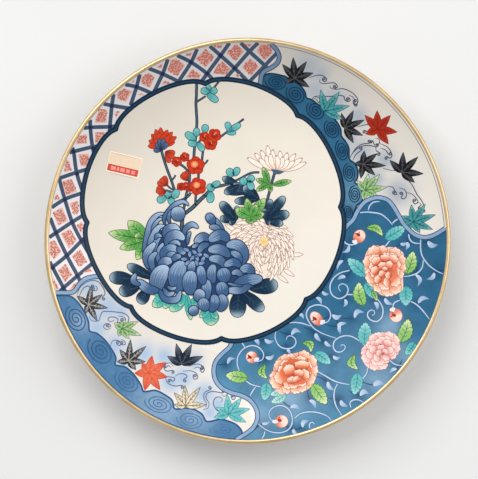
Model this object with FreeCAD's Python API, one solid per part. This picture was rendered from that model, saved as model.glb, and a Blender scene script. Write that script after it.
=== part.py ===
"""A large round porcelain display plate with a foot ring, clear glaze, a gilt rim and a paper price label.

Units are millimetres. +Z is up with the plate lying on its foot ring, +Y is the top of the picture on its
face, and the origin is on the standing plane, at the centre of the foot ring.

Every turned piece is a flat outline in the XZ half plane, turned about Z. The skins that lie on the body
(glaze and gilding) are the body's own outline, moved out by a layer's thickness, so they meet it face to
face.
"""
import FreeCAD, Part
import math
import os

from FreeCAD import Vector

# Driving dimensions of the finished plate.
PLATE_DIAMETER = 303.0
WELL_RADIUS = 78.0  # the flat floor of the well
WELL_FLOOR_HEIGHT = 16.0  # from the standing plane to the floor of the bare body
LOWER_WALL_RADIUS = 120.0
LOWER_WALL_ANGLE = 20.0  # slope where the lower wall's curve ends, degrees
LIP_ANGLE = 36.0  # slope of the wall where it meets the lip, degrees
LIP_THICKNESS = 2.8

# The foot ring, which stands on a flat ground edge.
FOOT_ROOT_RADIUS = 93.0
FOOT_ROOT_HEIGHT = 10.4
FOOT_OUTER_RADIUS = 89.5
FOOT_EDGE_WIDTH = 2.6
FOOT_CORNER_RADIUS = 1.2
FOOT_INNER_SLOPE = 1.2  # how far the inner wall leans in from bottom to top
BASE_CORNER_RADIUS = 3.0
BASE_HEIGHT = 9.6  # underside of the body inside the foot ring
GLAZE_LINE_HEIGHT = 2.0  # the glaze is wiped away below this, so the foot edge is bare

# Layers on the body.
GLAZE_THICKNESS = 0.3
GILDING_THICKNESS = 0.12
GILT_FACE_WIDTH = 0.9  # how far the gilding reaches in over the face
GILT_BACK_WIDTH = 1.4  # and under the lip

# The price label, stuck on the face at the upper left.
LABEL_WIDTH = 25.7
LABEL_HEIGHT = 15.8
LABEL_THICKNESS = 0.12
LABEL_CENTRE = Vector(-92.4, 57.0, 0)
LABEL_TURN = -13.3  # degrees about Z

AXIS = Vector(0, 0, 1)
ORIGIN = Vector(0, 0, 0)


def point(r, z):
    return Vector(r, 0, z)


class Curve:
    """A round stretch of the section: centre, radius and its two end angles, seen with R right and Z up."""

    def __init__(self, centre, radius, first, last, outward):
        self.centre = centre
        self.radius = radius
        self.first = first
        self.last = last
        self.outward = outward  # +1 where the outside of the porcelain is away from the centre, -1 if not

    def at(self, degrees, offset=0.0):
        reach = self.radius + self.outward * offset
        turn = math.radians(degrees)
        return self.centre + Vector(reach * math.cos(turn), 0, reach * math.sin(turn))

    def start(self, offset=0.0):
        return self.at(self.first, offset)

    def end(self, offset=0.0):
        return self.at(self.last, offset)

    def edge(self, offset=0.0):
        middle = self.at((self.first + self.last) / 2, offset)
        return Part.Arc(self.start(offset), middle, self.end(offset)).toShape()

    def cut(self, first, last):
        """The same circle between two other angles."""
        return Curve(self.centre, self.radius, first, last, self.outward)

    def degrees_for(self, length):
        return math.degrees(length / self.radius)


def face_curves():
    """The face from the well's edge outward: a lower wall curve, an upper one, and the half-round lip."""
    lip_radius = LIP_THICKNESS / 2
    lip_centre_radius = PLATE_DIAMETER / 2 - GLAZE_THICKNESS - GILDING_THICKNESS - lip_radius
    low = math.radians(LOWER_WALL_ANGLE)
    high = math.radians(LIP_ANGLE)
    lower_centre = point(WELL_RADIUS, WELL_FLOOR_HEIGHT + LOWER_WALL_RADIUS)
    lower = Curve(lower_centre, LOWER_WALL_RADIUS, -90, -90 + LOWER_WALL_ANGLE, -1)
    wall_end_radius = lip_centre_radius - lip_radius * math.sin(high)
    upper_radius = (wall_end_radius - lower.end().x) / (math.sin(high) - math.sin(low))
    to_centre = Vector(-math.sin(low), 0, math.cos(low))
    upper_centre = lower.end() + to_centre * upper_radius
    upper = Curve(upper_centre, upper_radius, -90 + LOWER_WALL_ANGLE, -90 + LIP_ANGLE, -1)
    lip_centre = upper.end() + Vector(math.sin(high), 0, -math.cos(high)) * lip_radius
    lip = Curve(lip_centre, lip_radius, 90 + LIP_ANGLE, -90 + LIP_ANGLE, 1)
    return lower, upper, lip


def back_curve(lip):
    """The back of the wall, which leaves the lip along its slope and thickens down to the foot."""
    start = lip.end()
    root = point(FOOT_ROOT_RADIUS, FOOT_ROOT_HEIGHT)
    chord = root - start
    high = math.radians(LIP_ANGLE)
    to_centre = Vector(-math.sin(high), 0, math.cos(high))
    radius = chord.dot(chord) / (2 * chord.dot(to_centre))
    centre = start + to_centre * radius
    last = math.degrees(math.atan2(root.z - centre.z, root.x - centre.x))
    return Curve(centre, radius, -90 + LIP_ANGLE, last, 1)


class Foot:
    """The section of the foot ring and the underside inside it, on the bare body or moved out by a glaze."""

    def __init__(self, glaze=0.0):
        corner = FOOT_CORNER_RADIUS
        outer = FOOT_OUTER_RADIUS
        inner = outer - FOOT_EDGE_WIDTH - 2 * corner
        self.root = point(FOOT_ROOT_RADIUS, FOOT_ROOT_HEIGHT)
        self.outer_corner = Curve(point(outer - corner, corner), corner, 0, -90, 1)
        self.inner_corner = Curve(point(inner + corner, corner), corner, -90, -180, 1)
        wall_top = point(inner - FOOT_INNER_SLOPE, BASE_HEIGHT - BASE_CORNER_RADIUS)
        base_centre = wall_top - point(BASE_CORNER_RADIUS, 0)
        self.base_corner = Curve(base_centre, BASE_CORNER_RADIUS, 0, 90, -1)
        self.wall_top = self.base_corner.start(glaze)
        self.base_edge = self.base_corner.end(glaze)
        self.base_middle = point(0, self.base_edge.z)


def line(a, b):
    return Part.makeLine(a, b)


def on_wall(a, b, height):
    """The point of a straight wall at a height above the standing plane."""
    share = (height - a.z) / (b.z - a.z)
    return a + (b - a) * share


def turned(edges):
    """One closed solid from a closed outline turned round the plate's axis.

    It is made of two half turns. With one whole turn the single seam leaves a lopsided mesh, whose centre of
    mass is off the axis.
    """
    half = Part.Face(Part.Wire(edges)).revolve(ORIGIN, AXIS, 180)
    other_half = half.copy()
    other_half.rotate(ORIGIN, AXIS, 180)
    return half.fuse(other_half).Solids[0]


def porcelain_body():
    """The fired body in one piece: well, wall, lip and foot ring."""
    lower, upper, lip = face_curves()
    foot = Foot()
    floor_middle = point(0, WELL_FLOOR_HEIGHT)
    return turned([
        line(floor_middle, lower.start()),
        lower.edge(),
        upper.edge(),
        lip.edge(),
        back_curve(lip).edge(),
        line(foot.root, foot.outer_corner.start()),
        foot.outer_corner.edge(),
        line(foot.outer_corner.end(), foot.inner_corner.start()),
        foot.inner_corner.edge(),
        line(foot.inner_corner.end(), foot.wall_top),
        foot.base_corner.edge(),
        line(foot.base_edge, foot.base_middle),
        line(foot.base_middle, floor_middle),
    ])


def outer_glaze():
    """The clear glaze over the face, round the lip and down the back to the glaze line on the foot."""
    lower, upper, lip = face_curves()
    back = back_curve(lip)
    foot = Foot()
    skin = GLAZE_THICKNESS
    floor_middle = point(0, WELL_FLOOR_HEIGHT)
    glazed_middle = point(0, WELL_FLOOR_HEIGHT + skin)
    glaze_line = on_wall(foot.root, foot.outer_corner.start(), GLAZE_LINE_HEIGHT)
    glaze_edge = glaze_line + point(skin, 0)
    return turned([
        line(floor_middle, glazed_middle),
        line(glazed_middle, lower.start(skin)),
        lower.edge(skin),
        upper.edge(skin),
        lip.edge(skin),
        back.edge(skin),
        line(back.end(skin), glaze_edge),
        line(glaze_edge, glaze_line),
        line(glaze_line, foot.root),
        back.edge(),
        lip.edge(),
        upper.edge(),
        lower.edge(),
        line(lower.start(), floor_middle),
    ])


def base_glaze():
    """The glaze inside the foot ring, which the bare foot edge parts from the rest."""
    foot = Foot()
    glazed = Foot(GLAZE_THICKNESS)
    glaze_line = on_wall(foot.inner_corner.end(), foot.wall_top, GLAZE_LINE_HEIGHT)
    glaze_edge = glaze_line - point(GLAZE_THICKNESS, 0)
    return turned([
        line(glaze_line, foot.wall_top),
        foot.base_corner.edge(),
        line(foot.base_edge, foot.base_middle),
        line(foot.base_middle, glazed.base_middle),
        line(glazed.base_middle, glazed.base_edge),
        foot.base_corner.edge(GLAZE_THICKNESS),
        line(glazed.wall_top, glaze_edge),
        line(glaze_edge, glaze_line),
    ])


def gilt_rim_band():
    """The gilding fired on over the glaze: a little way in on the face, round the lip and just under it."""
    _, upper, lip = face_curves()
    back = back_curve(lip)
    on_glaze = GLAZE_THICKNESS
    on_gilt = GLAZE_THICKNESS + GILDING_THICKNESS
    face = upper.cut(upper.last - upper.degrees_for(GILT_FACE_WIDTH), upper.last)
    under = back.cut(back.first, back.first - back.degrees_for(GILT_BACK_WIDTH))
    return turned([
        line(face.start(on_glaze), face.start(on_gilt)),
        face.edge(on_gilt),
        lip.edge(on_gilt),
        under.edge(on_gilt),
        line(under.end(on_gilt), under.end(on_glaze)),
        under.edge(on_glaze),
        lip.edge(on_glaze),
        face.edge(on_glaze),
    ])


def price_label():
    """A small paper label that follows the curve of the wall where it is stuck."""
    lower, upper, lip = face_curves()
    on_glaze = GLAZE_THICKNESS
    on_paper = GLAZE_THICKNESS + LABEL_THICKNESS
    glazed_middle = point(0, WELL_FLOOR_HEIGHT + on_glaze)
    papered_middle = point(0, WELL_FLOOR_HEIGHT + on_paper)
    sheet = turned([
        line(glazed_middle, papered_middle),
        line(papered_middle, lower.start(on_paper)),
        lower.edge(on_paper),
        upper.edge(on_paper),
        line(upper.end(on_paper), upper.end(on_glaze)),
        upper.edge(on_glaze),
        lower.edge(on_glaze),
        line(lower.start(on_glaze), glazed_middle),
    ])
    corner = Vector(-LABEL_WIDTH / 2, -LABEL_HEIGHT / 2, 0)
    stamp = Part.makeBox(LABEL_WIDTH, LABEL_HEIGHT, lip.start().z, corner)
    stamp.rotate(ORIGIN, AXIS, LABEL_TURN)
    stamp.translate(LABEL_CENTRE)
    return sheet.common(stamp).Solids[0]


NODES = {
    "porcelain_body": porcelain_body,
    "outer_glaze": outer_glaze,
    "base_glaze": base_glaze,
    "gilt_rim_band": gilt_rim_band,
    "price_label": price_label,
}


def main():
    os.makedirs("parts", exist_ok=True)
    for name, build in NODES.items():
        shape = build()
        shape.exportStep(f"parts/{name}.step")
        box = shape.BoundBox
        print(f"{name}: {shape.ShapeType}, valid {shape.isValid()}, {shape.Volume / 1000:.2f} cm3")
        print(f"    z {box.ZMin:.2f} to {box.ZMax:.2f} mm")


main()
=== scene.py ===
"""The looks of a large painted porcelain display plate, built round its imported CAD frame.

Blender works in metres. The painting is laid out in millimetres on the plate seen from straight above, with
its centre at the plate's centre, and is then draped on the glaze, one thin coat of paint over another.
"""
import math
import random

import bpy
import numpy as np
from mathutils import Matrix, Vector
from mathutils.geometry import delaunay_2d_cdt


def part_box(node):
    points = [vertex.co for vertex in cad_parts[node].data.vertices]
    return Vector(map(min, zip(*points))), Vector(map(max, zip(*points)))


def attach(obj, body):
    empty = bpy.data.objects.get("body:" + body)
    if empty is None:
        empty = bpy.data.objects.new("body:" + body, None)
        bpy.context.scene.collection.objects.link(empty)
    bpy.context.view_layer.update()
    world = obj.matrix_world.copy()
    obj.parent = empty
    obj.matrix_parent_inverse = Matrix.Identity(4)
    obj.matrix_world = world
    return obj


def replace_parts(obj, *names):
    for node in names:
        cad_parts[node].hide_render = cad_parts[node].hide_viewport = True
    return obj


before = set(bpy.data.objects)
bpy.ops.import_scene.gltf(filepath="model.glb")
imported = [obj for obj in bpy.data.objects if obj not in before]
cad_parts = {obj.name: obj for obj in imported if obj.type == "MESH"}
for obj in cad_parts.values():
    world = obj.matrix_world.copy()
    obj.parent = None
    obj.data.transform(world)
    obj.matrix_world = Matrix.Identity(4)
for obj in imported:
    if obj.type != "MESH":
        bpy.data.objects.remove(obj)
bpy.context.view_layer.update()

BODY = "root"
MM = 0.001

# The plate's section, in millimetres, as in the CAD.
PLATE_RADIUS = 151.5
WELL_RADIUS = 78.0
WELL_FLOOR_HEIGHT = 16.0
LOWER_WALL_RADIUS = 120.0
LOWER_WALL_ANGLE = 20.0
LIP_ANGLE = 36.0
LIP_THICKNESS = 2.8
FOOT_ROOT = (93.0, 10.4)
FOOT_TOE = (89.5, 1.2)
GLAZE_LINE_HEIGHT = 2.0
GLAZE = 0.3
GILDING = 0.12
GILT_FACE_WIDTH = 0.9
GILT_BACK_WIDTH = 1.4

COAT = 0.018  # one coat of paint
PAINT_EDGE = 148.2  # the painting ends here, at the gold
LAYOUT_HEIGHT = 2400.0  # the painting is laid out as it is seen from this high above the plate
MESH_STEP = 2.0  # the longest side of a triangle in the painting, about
LINE_STRIP = 1.3  # a line wider than this is made of several strips
PAINT_SHINE = 0.16  # how strongly painted places mirror the room
TURN = 2 * math.pi
TINY = 1e-9  # keeps a division clear of zero
EDGE_SQUEEZE = 0.02  # what is left of a length that was laid out under the gold
TAPER = 3  # either end of a brush line narrows over one part in this many of its length
ROW_PITCH = 0.866  # between the rows of an even triangular grid, in its spacings
OUTLINE_STEP = 0.8  # an outline's longest side, in spacings of the grid inside it
GRID_START = 0.4  # how far inside the outline's box the grid starts, in spacings
GRID_GAP = 0.45  # how near the outline the grid may come, in spacings
MERGE_WITHIN = 1e-5
INSIDE_ONLY = 1  # what delaunay_2d_cdt is asked for
BLOCK = 64  # this many points of an outline are measured at a time


# ---------------------------------------------------------------- the section

class Arc:
    """A round stretch of the section, from one angle to another, in degrees."""

    def __init__(self, centre, radius, first, last, outward):
        self.centre = centre
        self.radius = radius
        self.first = first
        self.last = last
        self.outward = outward

    def at(self, degrees, offset=0.0):
        reach = self.radius + self.outward * offset
        turn = math.radians(degrees)
        return (self.centre[0] + reach * math.cos(turn), self.centre[1] + reach * math.sin(turn))

    def points(self, count, offset=0.0, first=None, last=None):
        first = self.first if first is None else first
        last = self.last if last is None else last
        return [self.at(first + (last - first) * i / count, offset) for i in range(count + 1)]

    def height(self, r, offset=0.0):
        """The height of the hollow side at a radius from the plate's axis."""
        reach = self.radius + self.outward * offset
        return self.centre[1] - np.sqrt(np.maximum(reach * reach - (r - self.centre[0]) ** 2, 0))


def wall_arcs():
    lip_radius = LIP_THICKNESS / 2
    lip_centre_radius = PLATE_RADIUS - GLAZE - GILDING - lip_radius
    low = math.radians(LOWER_WALL_ANGLE)
    high = math.radians(LIP_ANGLE)
    lower_centre = (WELL_RADIUS, WELL_FLOOR_HEIGHT + LOWER_WALL_RADIUS)
    lower = Arc(lower_centre, LOWER_WALL_RADIUS, -90, -90 + LOWER_WALL_ANGLE, -1)
    joint = lower.at(lower.last)
    wall_end = lip_centre_radius - lip_radius * math.sin(high)
    radius = (wall_end - joint[0]) / (math.sin(high) - math.sin(low))
    upper_centre = (joint[0] - math.sin(low) * radius, joint[1] + math.cos(low) * radius)
    upper = Arc(upper_centre, radius, -90 + LOWER_WALL_ANGLE, -90 + LIP_ANGLE, -1)
    top = upper.at(upper.last)
    lip_centre = (top[0] + math.sin(high) * lip_radius, top[1] - math.cos(high) * lip_radius)
    lip = Arc(lip_centre, lip_radius, 90 + LIP_ANGLE, -90 + LIP_ANGLE, 1)
    start = lip.at(lip.last)
    chord = (FOOT_ROOT[0] - start[0], FOOT_ROOT[1] - start[1])
    inward = (-math.sin(high), math.cos(high))
    back_radius = (chord[0] ** 2 + chord[1] ** 2) / (2 * (chord[0] * inward[0] + chord[1] * inward[1]))
    back_centre = (start[0] + inward[0] * back_radius, start[1] + inward[1] * back_radius)
    last = math.degrees(math.atan2(FOOT_ROOT[1] - back_centre[1], FOOT_ROOT[0] - back_centre[0]))
    back = Arc(back_centre, back_radius, -90 + LIP_ANGLE, last, 1)
    return lower, upper, lip, back


LOWER, UPPER, LIP, BACK = wall_arcs()
PLATE_HEIGHT = LIP.centre[1] + LIP.radius + GLAZE + GILDING


def face_height(r, coats=0.0):
    """The height of the glazed face, with a number of coats on it, at radii in millimetres."""
    r = np.asarray(r, float)
    offset = GLAZE + coats * COAT
    flat = np.full_like(r, WELL_FLOOR_HEIGHT + offset)
    joint = LOWER.at(LOWER.last, offset)[0]
    wall = np.where(r < joint, LOWER.height(r, offset), UPPER.height(r, offset))
    return np.where(r < WELL_RADIUS, flat, wall)


def face_slope(r):
    near = 0.05
    return (face_height(r + near) - face_height(r - near)) / (2 * near)


def kept_off_the_gold(points):
    """Draws in whatever would run on under the gilded rim, to just by the painting's edge."""
    r = np.linalg.norm(points, axis=1)
    drawn_in = np.where(r > PAINT_EDGE, PAINT_EDGE + (r - PAINT_EDGE) * EDGE_SQUEEZE, r)
    return points * (drawn_in / np.maximum(r, TINY))[:, None]


def on_plate(points):
    """Where a laid-out point is on the plate. The deeper it is, the smaller it is seen from above."""
    depth = PLATE_HEIGHT - face_height(np.linalg.norm(points, axis=1))
    return points * (1 + depth / (LAYOUT_HEIGHT - PLATE_HEIGHT))[:, None]


# ---------------------------------------------------------------- meshes

def new_piece(name, verts, faces, material, slot, colours=None, normals=None):
    """A piece of the plate from vertices in metres. It rides on the plate's one body."""
    mesh = bpy.data.meshes.new(name)
    mesh.from_pydata(verts, [], faces)
    mesh.polygons.foreach_set("use_smooth", np.ones(len(mesh.polygons), bool))
    if colours is not None:
        layer = mesh.color_attributes.new("Paint", "FLOAT_COLOR", "POINT")
        rgba = np.ones((len(verts), 4), np.float32)
        rgba[:, :3] = colours
        layer.data.foreach_set("color", rgba.ravel())
    mesh.validate()
    if normals is not None:
        mesh.normals_split_custom_set_from_vertices(normals)
    mesh.materials.append(material)
    piece = bpy.data.objects.new(name, mesh)
    bpy.context.scene.collection.objects.link(piece)
    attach(piece, BODY)
    return piece


def lathe(name, outline, material, slot, segments=384):
    """A turned skin from an outline of (radius, height) in millimetres."""
    angles = np.arange(segments) * TURN / segments
    verts = []
    rows = []
    for r, z in outline:
        if r < TINY:
            rows.append([len(verts)] * segments)
            verts.append((0.0, 0.0, z * MM))
            continue
        rows.append(list(range(len(verts), len(verts) + segments)))
        ring = np.stack([r * np.cos(angles), r * np.sin(angles), np.full(segments, z)], 1) * MM
        verts.extend(map(tuple, ring))
    faces = []
    for inner, outer in zip(rows, rows[1:]):
        for i in range(segments):
            k = (i + 1) % segments
            corners = [inner[i], outer[i], outer[k], inner[k]]
            faces.append(tuple(dict.fromkeys(corners)))
    return new_piece(name, verts, faces, material, slot)


def steps(first, last, longest):
    """Even steps from one number to another, none longer than the limit."""
    count = max(1, math.ceil(abs(last - first) / longest))
    return [first + (last - first) * i / count for i in range(count + 1)]


# ---------------------------------------------------------------- paint

def rgb(red, green, blue):
    """A colour as seen, 0 to 255, as the light that Blender works in, by the sRGB curve."""
    shares = np.array([red, green, blue], float) / 255
    return np.where(shares <= 0.04045, shares / 12.92, ((shares + 0.055) / 1.055) ** 2.4)


def mix(first, last, share):
    share = np.asarray(share, float)[..., None]
    return first * (1 - share) + last * share


def wash(start, end, *colours):
    """A brush wash: the colours in turn from one point to another, and the last ones beyond them."""
    start = np.array(start, float)
    along = np.array(end, float) - start
    stops = np.linspace(0, 1, len(colours))
    table = np.array(colours)

    def colour(points):
        t = np.clip((points - start) @ along / (along @ along), 0, 1)
        return np.stack([np.interp(t, stops, table[:, i]) for i in range(3)], 1)

    return colour


def halo(centre, reach, inner, outer):
    """A wash that changes with the distance from a centre."""

    def colour(points):
        t = np.clip(np.linalg.norm(points - np.array(centre, float), axis=1) / reach, 0, 1)
        return mix(inner, outer, t)

    return colour


def pooled(pools, ground, pool):
    """A ground with soft pools of another colour: each is a place and a reach."""

    def colour(points):
        tint = np.zeros((len(points), 1))
        for x, y, reach in pools:
            distance = np.linalg.norm(points - (x, y), axis=1, keepdims=True)
            tint = np.maximum(tint, np.exp(-(distance / reach) ** 2))
        return shade(ground, points) * (1 - tint) + np.array(pool) * tint

    return colour


def shade(colour, points):
    """One colour, or a wash, at every point."""
    if callable(colour):
        return colour(points)
    return np.tile(colour, (len(points), 1))


def smooth(points, closed=False, spacing=0.8):
    """A smooth line (Catmull-Rom) through given points, with stretches no longer than the spacing."""
    p = np.array(points, float)
    if closed:
        p = np.vstack([p[-1], p, p[0], p[1]])
    else:
        p = np.vstack([2 * p[0] - p[1], p, 2 * p[-1] - p[-2]])
    line = []
    for i in range(1, len(p) - 2):
        a, b, c, d = p[i - 1:i + 3]
        cuts = max(2, math.ceil(np.linalg.norm(c - b) / spacing))
        for t in np.arange(cuts) / cuts:
            line.append(0.5 * (2 * b + (c - a) * t + (2 * a - 5 * b + 4 * c - d) * t * t
                               + (3 * b - a - 3 * c + d) * t ** 3))
    if not closed:
        line.append(p[-2])
    return np.array(line)


def smooth_to_gold(points):
    """A smooth line through given points, cut off where the painting ends."""
    line = smooth(points)
    return line[np.linalg.norm(line, axis=1) < PAINT_EDGE]


def split_sides(outline, longest):
    """The same closed outline, with no side longer than the limit."""
    line = []
    for a, b in zip(outline, np.roll(outline, -1, axis=0)):
        cuts = max(1, math.ceil(np.linalg.norm(b - a) / longest))
        line += [a + (b - a) * k / cuts for k in range(cuts)]
    return np.array(line)


def inside(points, outline):
    """Which points a closed outline holds."""
    x, y = points[:, 0], points[:, 1]
    held = np.zeros(len(points), bool)
    for (ax, ay), (bx, by) in zip(outline, np.roll(outline, -1, axis=0)):
        if ay == by:
            continue
        crosses = (ay > y) != (by > y)
        held ^= crosses & (x < (bx - ax) * (y - ay) / (by - ay) + ax)
    return held


def far_from(points, outline, gap):
    """Which points are further than the gap from every point of an outline."""
    nearest = np.full(len(points), np.inf)
    for start in range(0, len(outline), BLOCK):
        block = outline[start:start + BLOCK]
        nearest = np.minimum(nearest, np.linalg.norm(points[:, None] - block[None], axis=2).min(1))
    return nearest > gap


def lattice_points(low, high, spacing):
    """An even triangular grid of points in a box."""
    rows = np.arange(low[1], high[1], spacing * ROW_PITCH)
    columns = np.arange(low[0], high[0], spacing)
    shifts = np.arange(len(rows)) % 2 * spacing / 2
    x = (columns[None, :] + shifts[:, None]).ravel()
    y = np.repeat(rows, len(columns))
    return np.stack([x, y], 1)


def quarter_turn(along):
    """A direction turned to its left."""
    return np.array([-along[1], along[0]])


def left_of(line, closed=False):
    """The unit direction to the left of a line, at each of its points."""
    if closed:
        along = np.roll(line, -1, axis=0) - np.roll(line, 1, axis=0)
    else:
        along = np.gradient(line, axis=0)
    along /= np.maximum(np.linalg.norm(along, axis=1), TINY)[:, None]
    return np.stack([-along[:, 1], along[:, 0]], 1)


class Painting:
    """One named piece of the painting. Its coats are flat shapes that are draped on the plate at the end."""

    def __init__(self, name, paint):
        self.name = name
        self.material, self.slot = paint
        self.points = []
        self.coats = []
        self.colours = []
        self.faces = []
        self.count = 0

    def add(self, points, coat, colour, faces):
        points = np.asarray(points, float)
        self.points.append(points)
        self.coats.append(np.zeros(len(points)) + coat)
        self.colours.append(shade(colour, points))
        self.faces += [tuple(self.count + i for i in f) for f in faces]
        self.count += len(points)

    def fill(self, outline, coat, colour, spacing=MESH_STEP):
        """A filled shape inside a closed outline."""
        outline = split_sides(np.asarray(outline, float), spacing * OUTLINE_STEP)
        low, high = outline.min(0), outline.max(0)
        grid = lattice_points(low + spacing * GRID_START, high, spacing)
        if len(grid):
            grid = grid[inside(grid, outline)]
        if len(grid):
            grid = grid[far_from(grid, outline, spacing * GRID_GAP)]
        verts = [Vector(p) for p in np.vstack([outline, grid])]
        made = delaunay_2d_cdt(verts, [], [list(range(len(outline)))], INSIDE_ONLY, MERGE_WITHIN)
        points = np.array([tuple(v) for v in made[0]])
        faces = []
        for f in made[2]:
            a, b, c = (points[i] for i in f[:3])
            turn = (b[0] - a[0]) * (c[1] - a[1]) - (b[1] - a[1]) * (c[0] - a[0])
            faces.append(tuple(f) if turn > 0 else tuple(reversed(f)))
        self.add(points, coat, colour, faces)

    def line(self, points, width, coat, colour, closed=False, ends=(1.0, 1.0)):
        """A brush line. Its width can shrink to a share of the middle's at either end."""
        p = np.asarray(points, float)
        n = len(p)
        t = np.linspace(0, 1, n) * TAPER
        start = ends[0] + (1 - ends[0]) * t
        end = ends[1] + (1 - ends[1]) * (TAPER - t)
        share = np.minimum(1, np.minimum(start, end))
        reach = left_of(p, closed) * (width * share / 2)[:, None]
        last = n if closed else n - 1
        # A wide line has several strips side by side, so that it lies close on the curved face.
        strips = math.ceil(width / LINE_STRIP)
        across = np.linspace(1, -1, strips + 1)
        faces = []
        for row in range(strips):
            first, second = row * n, (row + 1) * n
            faces += [(first + i, second + i, second + (i + 1) % n, first + (i + 1) % n) for i in range(last)]
        self.add(np.vstack([p + reach * a for a in across]), coat, colour, faces)

    def rimmed(self, outline, coat, colour, rim, rim_width, lift=0.1, spacing=MESH_STEP):
        """A filled shape, with a line drawn round it a little higher."""
        self.fill(outline, coat, colour, spacing)
        self.line(outline, rim_width, coat + lift, rim, closed=True)

    def drape(self):
        """Makes the piece: all its coats, on the plate."""
        points = on_plate(kept_off_the_gold(np.vstack(self.points)))
        coats = np.concatenate(self.coats)
        r = np.linalg.norm(points, axis=1)
        z = face_height(r, coats)
        slope = face_slope(r)
        out = points / np.maximum(r, TINY)[:, None]
        normals = np.stack([-slope * out[:, 0], -slope * out[:, 1], np.ones(len(r))], 1)
        normals /= np.linalg.norm(normals, axis=1)[:, None]
        verts = np.column_stack([points, z]) * MM
        return new_piece(self.name, verts.tolist(), self.faces, self.material, self.slot,
                         np.vstack(self.colours), normals.tolist())


# ---------------------------------------------------------------- shapes

def petal(base, tip, width, root=0.9, end=0.5, bend=0.0, count=14):
    """A petal or leaflet. A small end exponent makes a round tip, a large one a pointed tip."""
    base = np.array(base, float)
    along = np.array(tip, float) - base
    side = quarter_turn(along) / np.linalg.norm(along)
    t = (1 - np.cos(np.linspace(0, math.pi, count + 1))) / 2
    swell = t ** root * (1 - t) ** end
    half = swell / swell.max() * width / 2
    spine = base + along * t[:, None] + side * (bend * np.sin(math.pi * t))[:, None]
    left = spine + side * half[:, None]
    right = spine - side * half[:, None]
    return np.vstack([left, right[-2:0:-1]])


def oval(centre, width, height, turn=0.0, count=10):
    a = np.arange(count) * TURN / count
    c, s = math.cos(math.radians(turn)), math.sin(math.radians(turn))
    x, y = np.cos(a) * width / 2, np.sin(a) * height / 2
    return np.stack([centre[0] + x * c - y * s, centre[1] + x * s + y * c], 1)


def spiral(centre, outer, inner, start, turns, count):
    """A spiral from its outer end inward. The start is in degrees."""
    t = np.linspace(0, 1, count)
    radius = outer + (inner - outer) * t
    a = math.radians(start) + TURN * turns * t
    return np.stack([centre[0] + radius * np.cos(a), centre[1] + radius * np.sin(a)], 1)


def polar(centre, radius, degrees):
    a = math.radians(degrees)
    return np.array([centre[0] + radius * math.cos(a), centre[1] + radius * math.sin(a)])


def turned(points, degrees):
    """Points turned about the origin."""
    a = math.radians(degrees)
    return np.asarray(points, float) @ np.array([[math.cos(a), math.sin(a)], [-math.sin(a), math.cos(a)]])


def rim_arc(radius, first, last, spacing=1.6):
    """Points round the plate's centre, from one angle to another in degrees."""
    count = max(2, math.ceil(abs(math.radians(last - first)) * radius / spacing))
    a = np.radians(np.linspace(first, last, count + 1))
    return np.stack([radius * np.cos(a), radius * np.sin(a)], 1)


# ---------------------------------------------------------------- materials

NOISE_DETAIL = 4.0
NOISE_RANGE = (0.3, 0.7)  # nearly all of a noise lies between these
MOTTLE_RANGE = (0.35, 0.65)
GRAIN_HEIGHT = 0.0002
GRAIN_FINENESS = 6  # times as fine as the mottling


def new_material(name, roughness):
    material = bpy.data.materials.new(name)
    material.use_nodes = True
    nodes = material.node_tree.nodes
    shader = nodes["Principled BSDF"]
    shader.inputs["Roughness"].default_value = roughness
    return material, nodes, material.node_tree.links, shader


def noise(nodes, links, scale):
    """A noise in the plate's own frame. The scale counts features in a metre."""
    place = nodes.new("ShaderNodeTexCoord")
    texture = nodes.new("ShaderNodeTexNoise")
    texture.inputs["Scale"].default_value = scale
    texture.inputs["Detail"].default_value = NOISE_DETAIL
    links.new(place.outputs["Object"], texture.inputs["Vector"])
    return texture.outputs["Fac"]


def paint_material(name, roughness, unevenness, scale):
    """Fired paint. The brush leaves it a little darker and lighter from place to place."""
    material, nodes, links, shader = new_material(name, roughness)
    shader.inputs["Specular IOR Level"].default_value = PAINT_SHINE
    paint = nodes.new("ShaderNodeVertexColor")
    paint.layer_name = "Paint"
    value = nodes.new("ShaderNodeMapRange")
    value.inputs["From Min"].default_value = NOISE_RANGE[0]
    value.inputs["From Max"].default_value = NOISE_RANGE[1]
    value.inputs["To Min"].default_value = 1 - unevenness
    value.inputs["To Max"].default_value = 1 + unevenness
    links.new(noise(nodes, links, scale), value.inputs["Value"])
    tone = nodes.new("ShaderNodeHueSaturation")
    links.new(value.outputs["Result"], tone.inputs["Value"])
    links.new(paint.outputs["Color"], tone.inputs["Color"])
    links.new(tone.outputs["Color"], shader.inputs["Base Color"])
    return material


def mottled_material(name, dark, light, roughness, scale, metallic=0.0, bump=0.0):
    """A surface that wavers between two colours."""
    material, nodes, links, shader = new_material(name, roughness)
    ramp = nodes.new("ShaderNodeValToRGB")
    for element, position, colour in zip(ramp.color_ramp.elements, MOTTLE_RANGE, (dark, light)):
        element.position = position
        element.color = (*colour, 1)
    links.new(noise(nodes, links, scale), ramp.inputs["Fac"])
    links.new(ramp.outputs["Color"], shader.inputs["Base Color"])
    shader.inputs["Metallic"].default_value = metallic
    if bump:
        relief = nodes.new("ShaderNodeBump")
        relief.inputs["Strength"].default_value = bump
        relief.inputs["Distance"].default_value = GRAIN_HEIGHT
        links.new(noise(nodes, links, scale * GRAIN_FINENESS), relief.inputs["Height"])
        links.new(relief.outputs["Normal"], shader.inputs["Normal"])
    return material


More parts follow.
